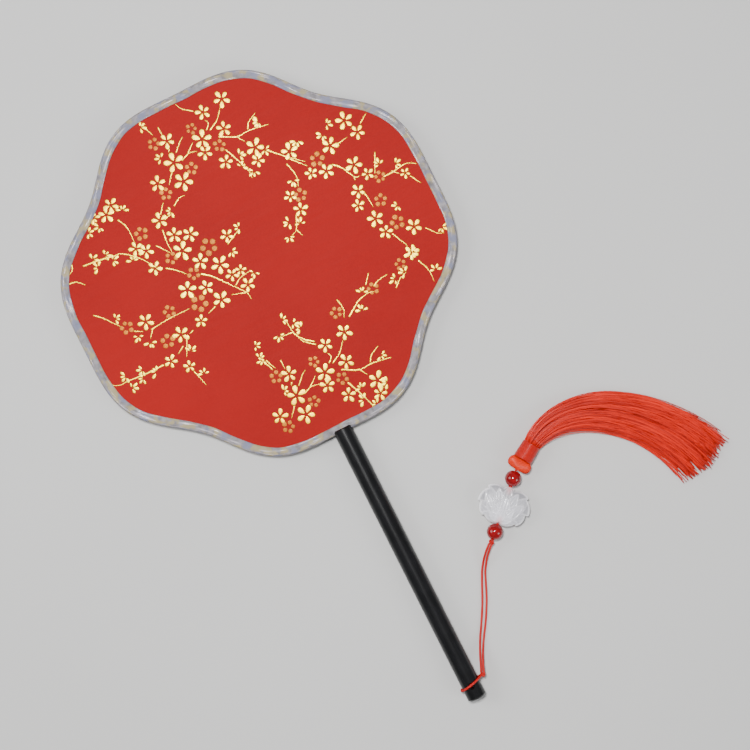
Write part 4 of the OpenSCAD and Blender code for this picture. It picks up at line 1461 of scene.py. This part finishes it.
class SILKFAN_OT_tassel_head(Operator):
    """Make the tassel's hanging loops, its rolled knot and its wound barrel"""
    bl_idname = "silk_fan.tassel_head"
    bl_label = "Tassel head"

    def execute(self, context):
        tassel = context.scene.silk_fan_tassel
        self.make_loops(context.scene.silk_fan_pendant)
        head = cord_material("wound_orange_thread", tassel.head_colour, 44.0, 9.0, 0.36)
        self.make_roll(tassel, head)
        winding = cord_material("barrel_winding_thread", tassel.barrel_colour, 4.0, 74.0, 0.34)
        self.make_barrel(tassel, winding)
        return {"FINISHED"}

    def make_loops(self, pendant):
        """Two loops of thin cord that run from the bead cord's end into the roll."""
        material = cord_material("hanging_loop_cord", pendant.cord_colour, 10.0, 60.0)
        parts = []
        for tilt in (0.35, -0.35):
            points = np.array([(4.4, 0.72), (2.4, 0.75), (0.6, 0.55), (-0.45, 0.0), (0.6, -0.55),
                               (2.4, -0.75), (4.4, -0.72)]) * MM
            path = head_place(points[:, 0], points[:, 1] * math.cos(tilt), points[:, 1] * math.sin(tilt))
            up = np.cross(HEAD_LINE, unit(path[0] - path[-1]))
            parts.append(twisted_cord(smooth_route(path, 0.25 * MM), 0.42 * MM, up, 2, 1.8 * MM))
        settle(make_piece("hanging_loops", merged(parts), material), "tassel", "tassel_silk", "tassel_loop")

    def make_roll(self, tassel, material):
        """The roll lies across the head. Its section is a circle with 22 threads, its radius
        swells to both ends and closes there as a ball does, and the threads wind faster
        towards the ends, so that each end curls."""
        half = tassel.roll_width / 2
        radius = tassel.roll_diameter / 2
        s = np.sin(np.linspace(-np.pi / 2, np.pi / 2, 150))[1:-1]
        swell = 1.04 + 0.06 * np.abs(s) ** 1.5
        ends = np.sqrt(np.clip(1 - np.clip((np.abs(s) * half - (half - radius)) / radius, 0, 1) ** 2, 0, 1))
        size = radius * swell * np.maximum(ends, 0.02)
        bow = 0.75 * MM * np.cos(s * np.pi / 2)
        path = head_place(4.95 * MM - bow, s * half)
        sides = 132
        a = np.arange(sides) * 2 * np.pi / sides
        twist = np.sign(s) * 5.0 * np.abs(s) ** 3 + 0.6 * s
        thread = np.abs(np.cos(11 * (a + twist[:, None])))
        size = size[:, None] * (0.92 + 0.08 * thread)
        # The threads are kept as crown, for the painted shade in the valleys between them.
        shape = carried(path, size * 1.14, size, UP, sides, crown=thread)
        settle(make_piece("curled_roll", shape, material), "tassel", "tassel_head_silk", "tassel_roll")

    def make_barrel(self, tassel, material):
        """The barrel is turned: a slightly narrowing drum with eased ends, and a helix of
        thread 0.62 mm apart that rises by a tenth of a millimetre."""
        length = tassel.barrel_length
        start = 7.75 * MM
        radius = tassel.barrel_diameter / 2
        x = np.linspace(0, length, 170)
        ease = 1.2 * MM
        near_end = np.clip(np.minimum(x, length - x) / ease, 0, 1)
        rounding = 0.9 * MM * (1 - np.sqrt(1 - (1 - near_end) ** 2))
        drum = (radius - 0.12 * MM) * (1 - 0.06 * x / length) - rounding
        sides = 120
        a = np.arange(sides) * 2 * np.pi / sides
        coil = np.abs(np.cos(np.pi * x[:, None] / (0.62 * MM) - a / 2))
        out = drum[:, None] + 0.11 * MM * coil
        side = unit(np.cross(HEAD_LINE, UP))
        rise = np.cross(HEAD_LINE, side)
        spoke = np.cos(a)[:, None] * side + np.sin(a)[:, None] * rise
        base = TASSEL_TOP + start * HEAD_LINE
        grid = base + x[:, None, None] * HEAD_LINE + out[..., None] * spoke
        first = (base + 0.1 * MM * HEAD_LINE)[None]
        last = (base + (length - 0.6 * MM) * HEAD_LINE)[None]
        shape = skin(grid[None], first, last)
        # The coil is kept as crown, for the painted shade between the turns.
        shape["values"]["crown"] = np.append(coil.ravel(), [0.5, 0.5])
        piece = make_piece("wound_barrel", shape, material)
        settle(piece, "tassel", "tassel_head_silk", "tassel_wrap", "tassel_core")


# Handles of the curve that the fringe lies on, from the end of the barrel, on the table
FRINGE_CURVE = np.array([(0.0, 0.0), (32.0, 18.0), (78.0, -12.0), (93.5, -64.0)]) * MM


def fringe_grid(tassel, count, seed):
    """Rings of every thread: copies x rows x sides x 3. A thread keeps its own place (u, v)
    in the bundle, a disc that widens and flattens along the curve, so its line is
    curve + u W side + v H up. Threads cling in locks of three that share a place, a tone and
    slow waves that grow towards the free end. Some locks stray outwards, and each thread
    ends at its own length."""
    rng = np.random.default_rng(seed)
    rows, sides = 26, 5
    locks = count // 3
    lock = np.arange(count) % locks
    reach = np.sqrt(rng.uniform(0, 1, locks))
    way = rng.uniform(0, 2 * np.pi, locks)
    u = (reach * np.cos(way))[lock] + rng.normal(0, 0.02, count)
    v = (reach * np.sin(way))[lock] + rng.normal(0, 0.06, count)
    full = tassel.barrel_diameter / 2
    end = 1 - 0.2 * rng.beta(1.1, 2.4, count) - 0.03 * np.abs(u)
    t = np.linspace(0, 1, rows)[None] * end[:, None]
    h = FRINGE_CURVE
    b = t[..., None]
    curve = (1 - b) ** 3 * h[0] + 3 * (1 - b) ** 2 * b * h[1] + 3 * (1 - b) * b**2 * h[2] + b**3 * h[3]
    slope = (1 - b) ** 2 * (h[1] - h[0]) + 2 * (1 - b) * b * (h[2] - h[1]) + b**2 * (h[3] - h[2])
    run = unit(slope)
    side = np.stack([-run[..., 1], run[..., 0]], -1)
    wide = full * 0.86 + (tassel.end_width / 2 - full * 0.86) * t**0.8
    high = full * 0.86 + (tassel.end_height / 2 - full * 0.86) * t**0.6
    stray = np.where(rng.uniform(0, 1, locks) < 0.3, rng.normal(0, 3.2 * MM, locks), 0.0)
    stray = stray[lock] + rng.normal(0, 0.9 * MM, count)
    waves = (rng.normal(0, 1, (3, locks))[:, lock] + rng.normal(0, 0.8, (3, count)))[..., None] * MM
    starts = (rng.uniform(0, 2 * np.pi, (3, locks))[:, lock] + rng.normal(0, 1.3, (3, count)))[..., None]
    sway = (
        waves[0] * 1.5 * np.sin(4 * t + starts[0]) + waves[1] * 0.6 * np.sin(10 * t + starts[1])
    ) * t**0.8 + stray[:, None] * t**1.5
    lift = waves[2] * 0.22 * np.sin(7 * t + starts[2]) * t
    flat = curve + side * (u[:, None] * wide + sway)[..., None]
    radius = tassel.thread_diameter / 2
    z = high + 0.1 * MM + v[:, None] * high + lift
    z = np.maximum(z, radius * 1.2)
    path = np.concatenate([flat, z[..., None]], -1)
    path[..., :2] += FRINGE_TOP[:2]
    path[:, 0] -= 0.9 * MM * HEAD_LINE
    _, across, rise = path_axes(path, UP)
    a = np.arange(sides) * 2 * np.pi / sides
    grid = (
        path[:, :, None]
        + radius * np.cos(a)[:, None] * across[:, :, None]
        + radius * np.sin(a)[:, None] * rise[:, :, None]
    )
    tone = np.clip(rng.normal(0.5, 0.14, locks)[lock] + rng.normal(0, 0.24, count), 0, 1)
    return grid, path, tone


class SILKFAN_OT_fringe(Operator):
    """Make the tassel's loose threads"""
    bl_idname = "silk_fan.fringe"
    bl_label = "Tassel fringe"

    def execute(self, context):
        tassel = context.scene.silk_fan_tassel
        material = thread_material(tassel)
        half = tassel.threads // 2
        for name, seed in (("a", 11), ("b", 12)):
            grid, path, tone = fringe_grid(tassel, half, seed)
            shape = skin(grid, path[:, 0], path[:, -1])
            shape["values"]["tone"] = np.repeat(tone, shape["size"])
            piece = make_piece("fringe_threads_" + name, shape, material)
            if name == "a":
                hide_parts("tassel_fringe")
            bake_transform(piece)
        return {"FINISHED"}


# ---- add-on ----

class SILKFAN_PT_pieces(Panel):
    """Lists the fan's pieces in the order they are made"""
    bl_idname = "SILKFAN_PT_pieces"
    bl_label = "Silk Fan"
    bl_space_type = "VIEW_3D"
    bl_region_type = "UI"
    bl_category = "Silk Fan"

    def draw(self, context):
        for operator in OPERATORS:
            self.layout.operator(operator.bl_idname)


SETTINGS = {
    "silk_fan_face": SilkFanFace,
    "silk_fan_handle": SilkFanHandle,
    "silk_fan_pendant": SilkFanPendant,
    "silk_fan_tassel": SilkFanTassel,
    "silk_fan_stage": SilkFanStage,
}
OPERATORS = [
    SILKFAN_OT_stage, SILKFAN_OT_cords, SILKFAN_OT_cloths, SILKFAN_OT_print,
    SILKFAN_OT_binding, SILKFAN_OT_handle, SILKFAN_OT_beads, SILKFAN_OT_lotus,
    SILKFAN_OT_tassel_head, SILKFAN_OT_fringe,
]


def register():
    for group in SETTINGS.values():
        bpy.utils.register_class(group)
    for name, group in SETTINGS.items():
        setattr(bpy.types.Scene, name, PointerProperty(type=group))
    for operator in OPERATORS:
        bpy.utils.register_class(operator)
    bpy.utils.register_class(SILKFAN_PT_pieces)


def unregister():
    bpy.utils.unregister_class(SILKFAN_PT_pieces)
    for operator in reversed(OPERATORS):
        bpy.utils.unregister_class(operator)
    for name, group in SETTINGS.items():
        delattr(bpy.types.Scene, name)
        bpy.utils.unregister_class(group)


def main():
    register()
    make_weave_group()
    make_mottle_group()
    make_grain_group()
    make_fibre_group()
    bpy.ops.silk_fan.stage()
    bpy.ops.silk_fan.cords()
    bpy.ops.silk_fan.cloths()
    bpy.ops.silk_fan.print()
    bpy.ops.silk_fan.binding()
    bpy.ops.silk_fan.handle()
    bpy.ops.silk_fan.beads()
    bpy.ops.silk_fan.lotus()
    bpy.ops.silk_fan.tassel_head()
    bpy.ops.silk_fan.fringe()


if __name__ == "__main__":
    main()
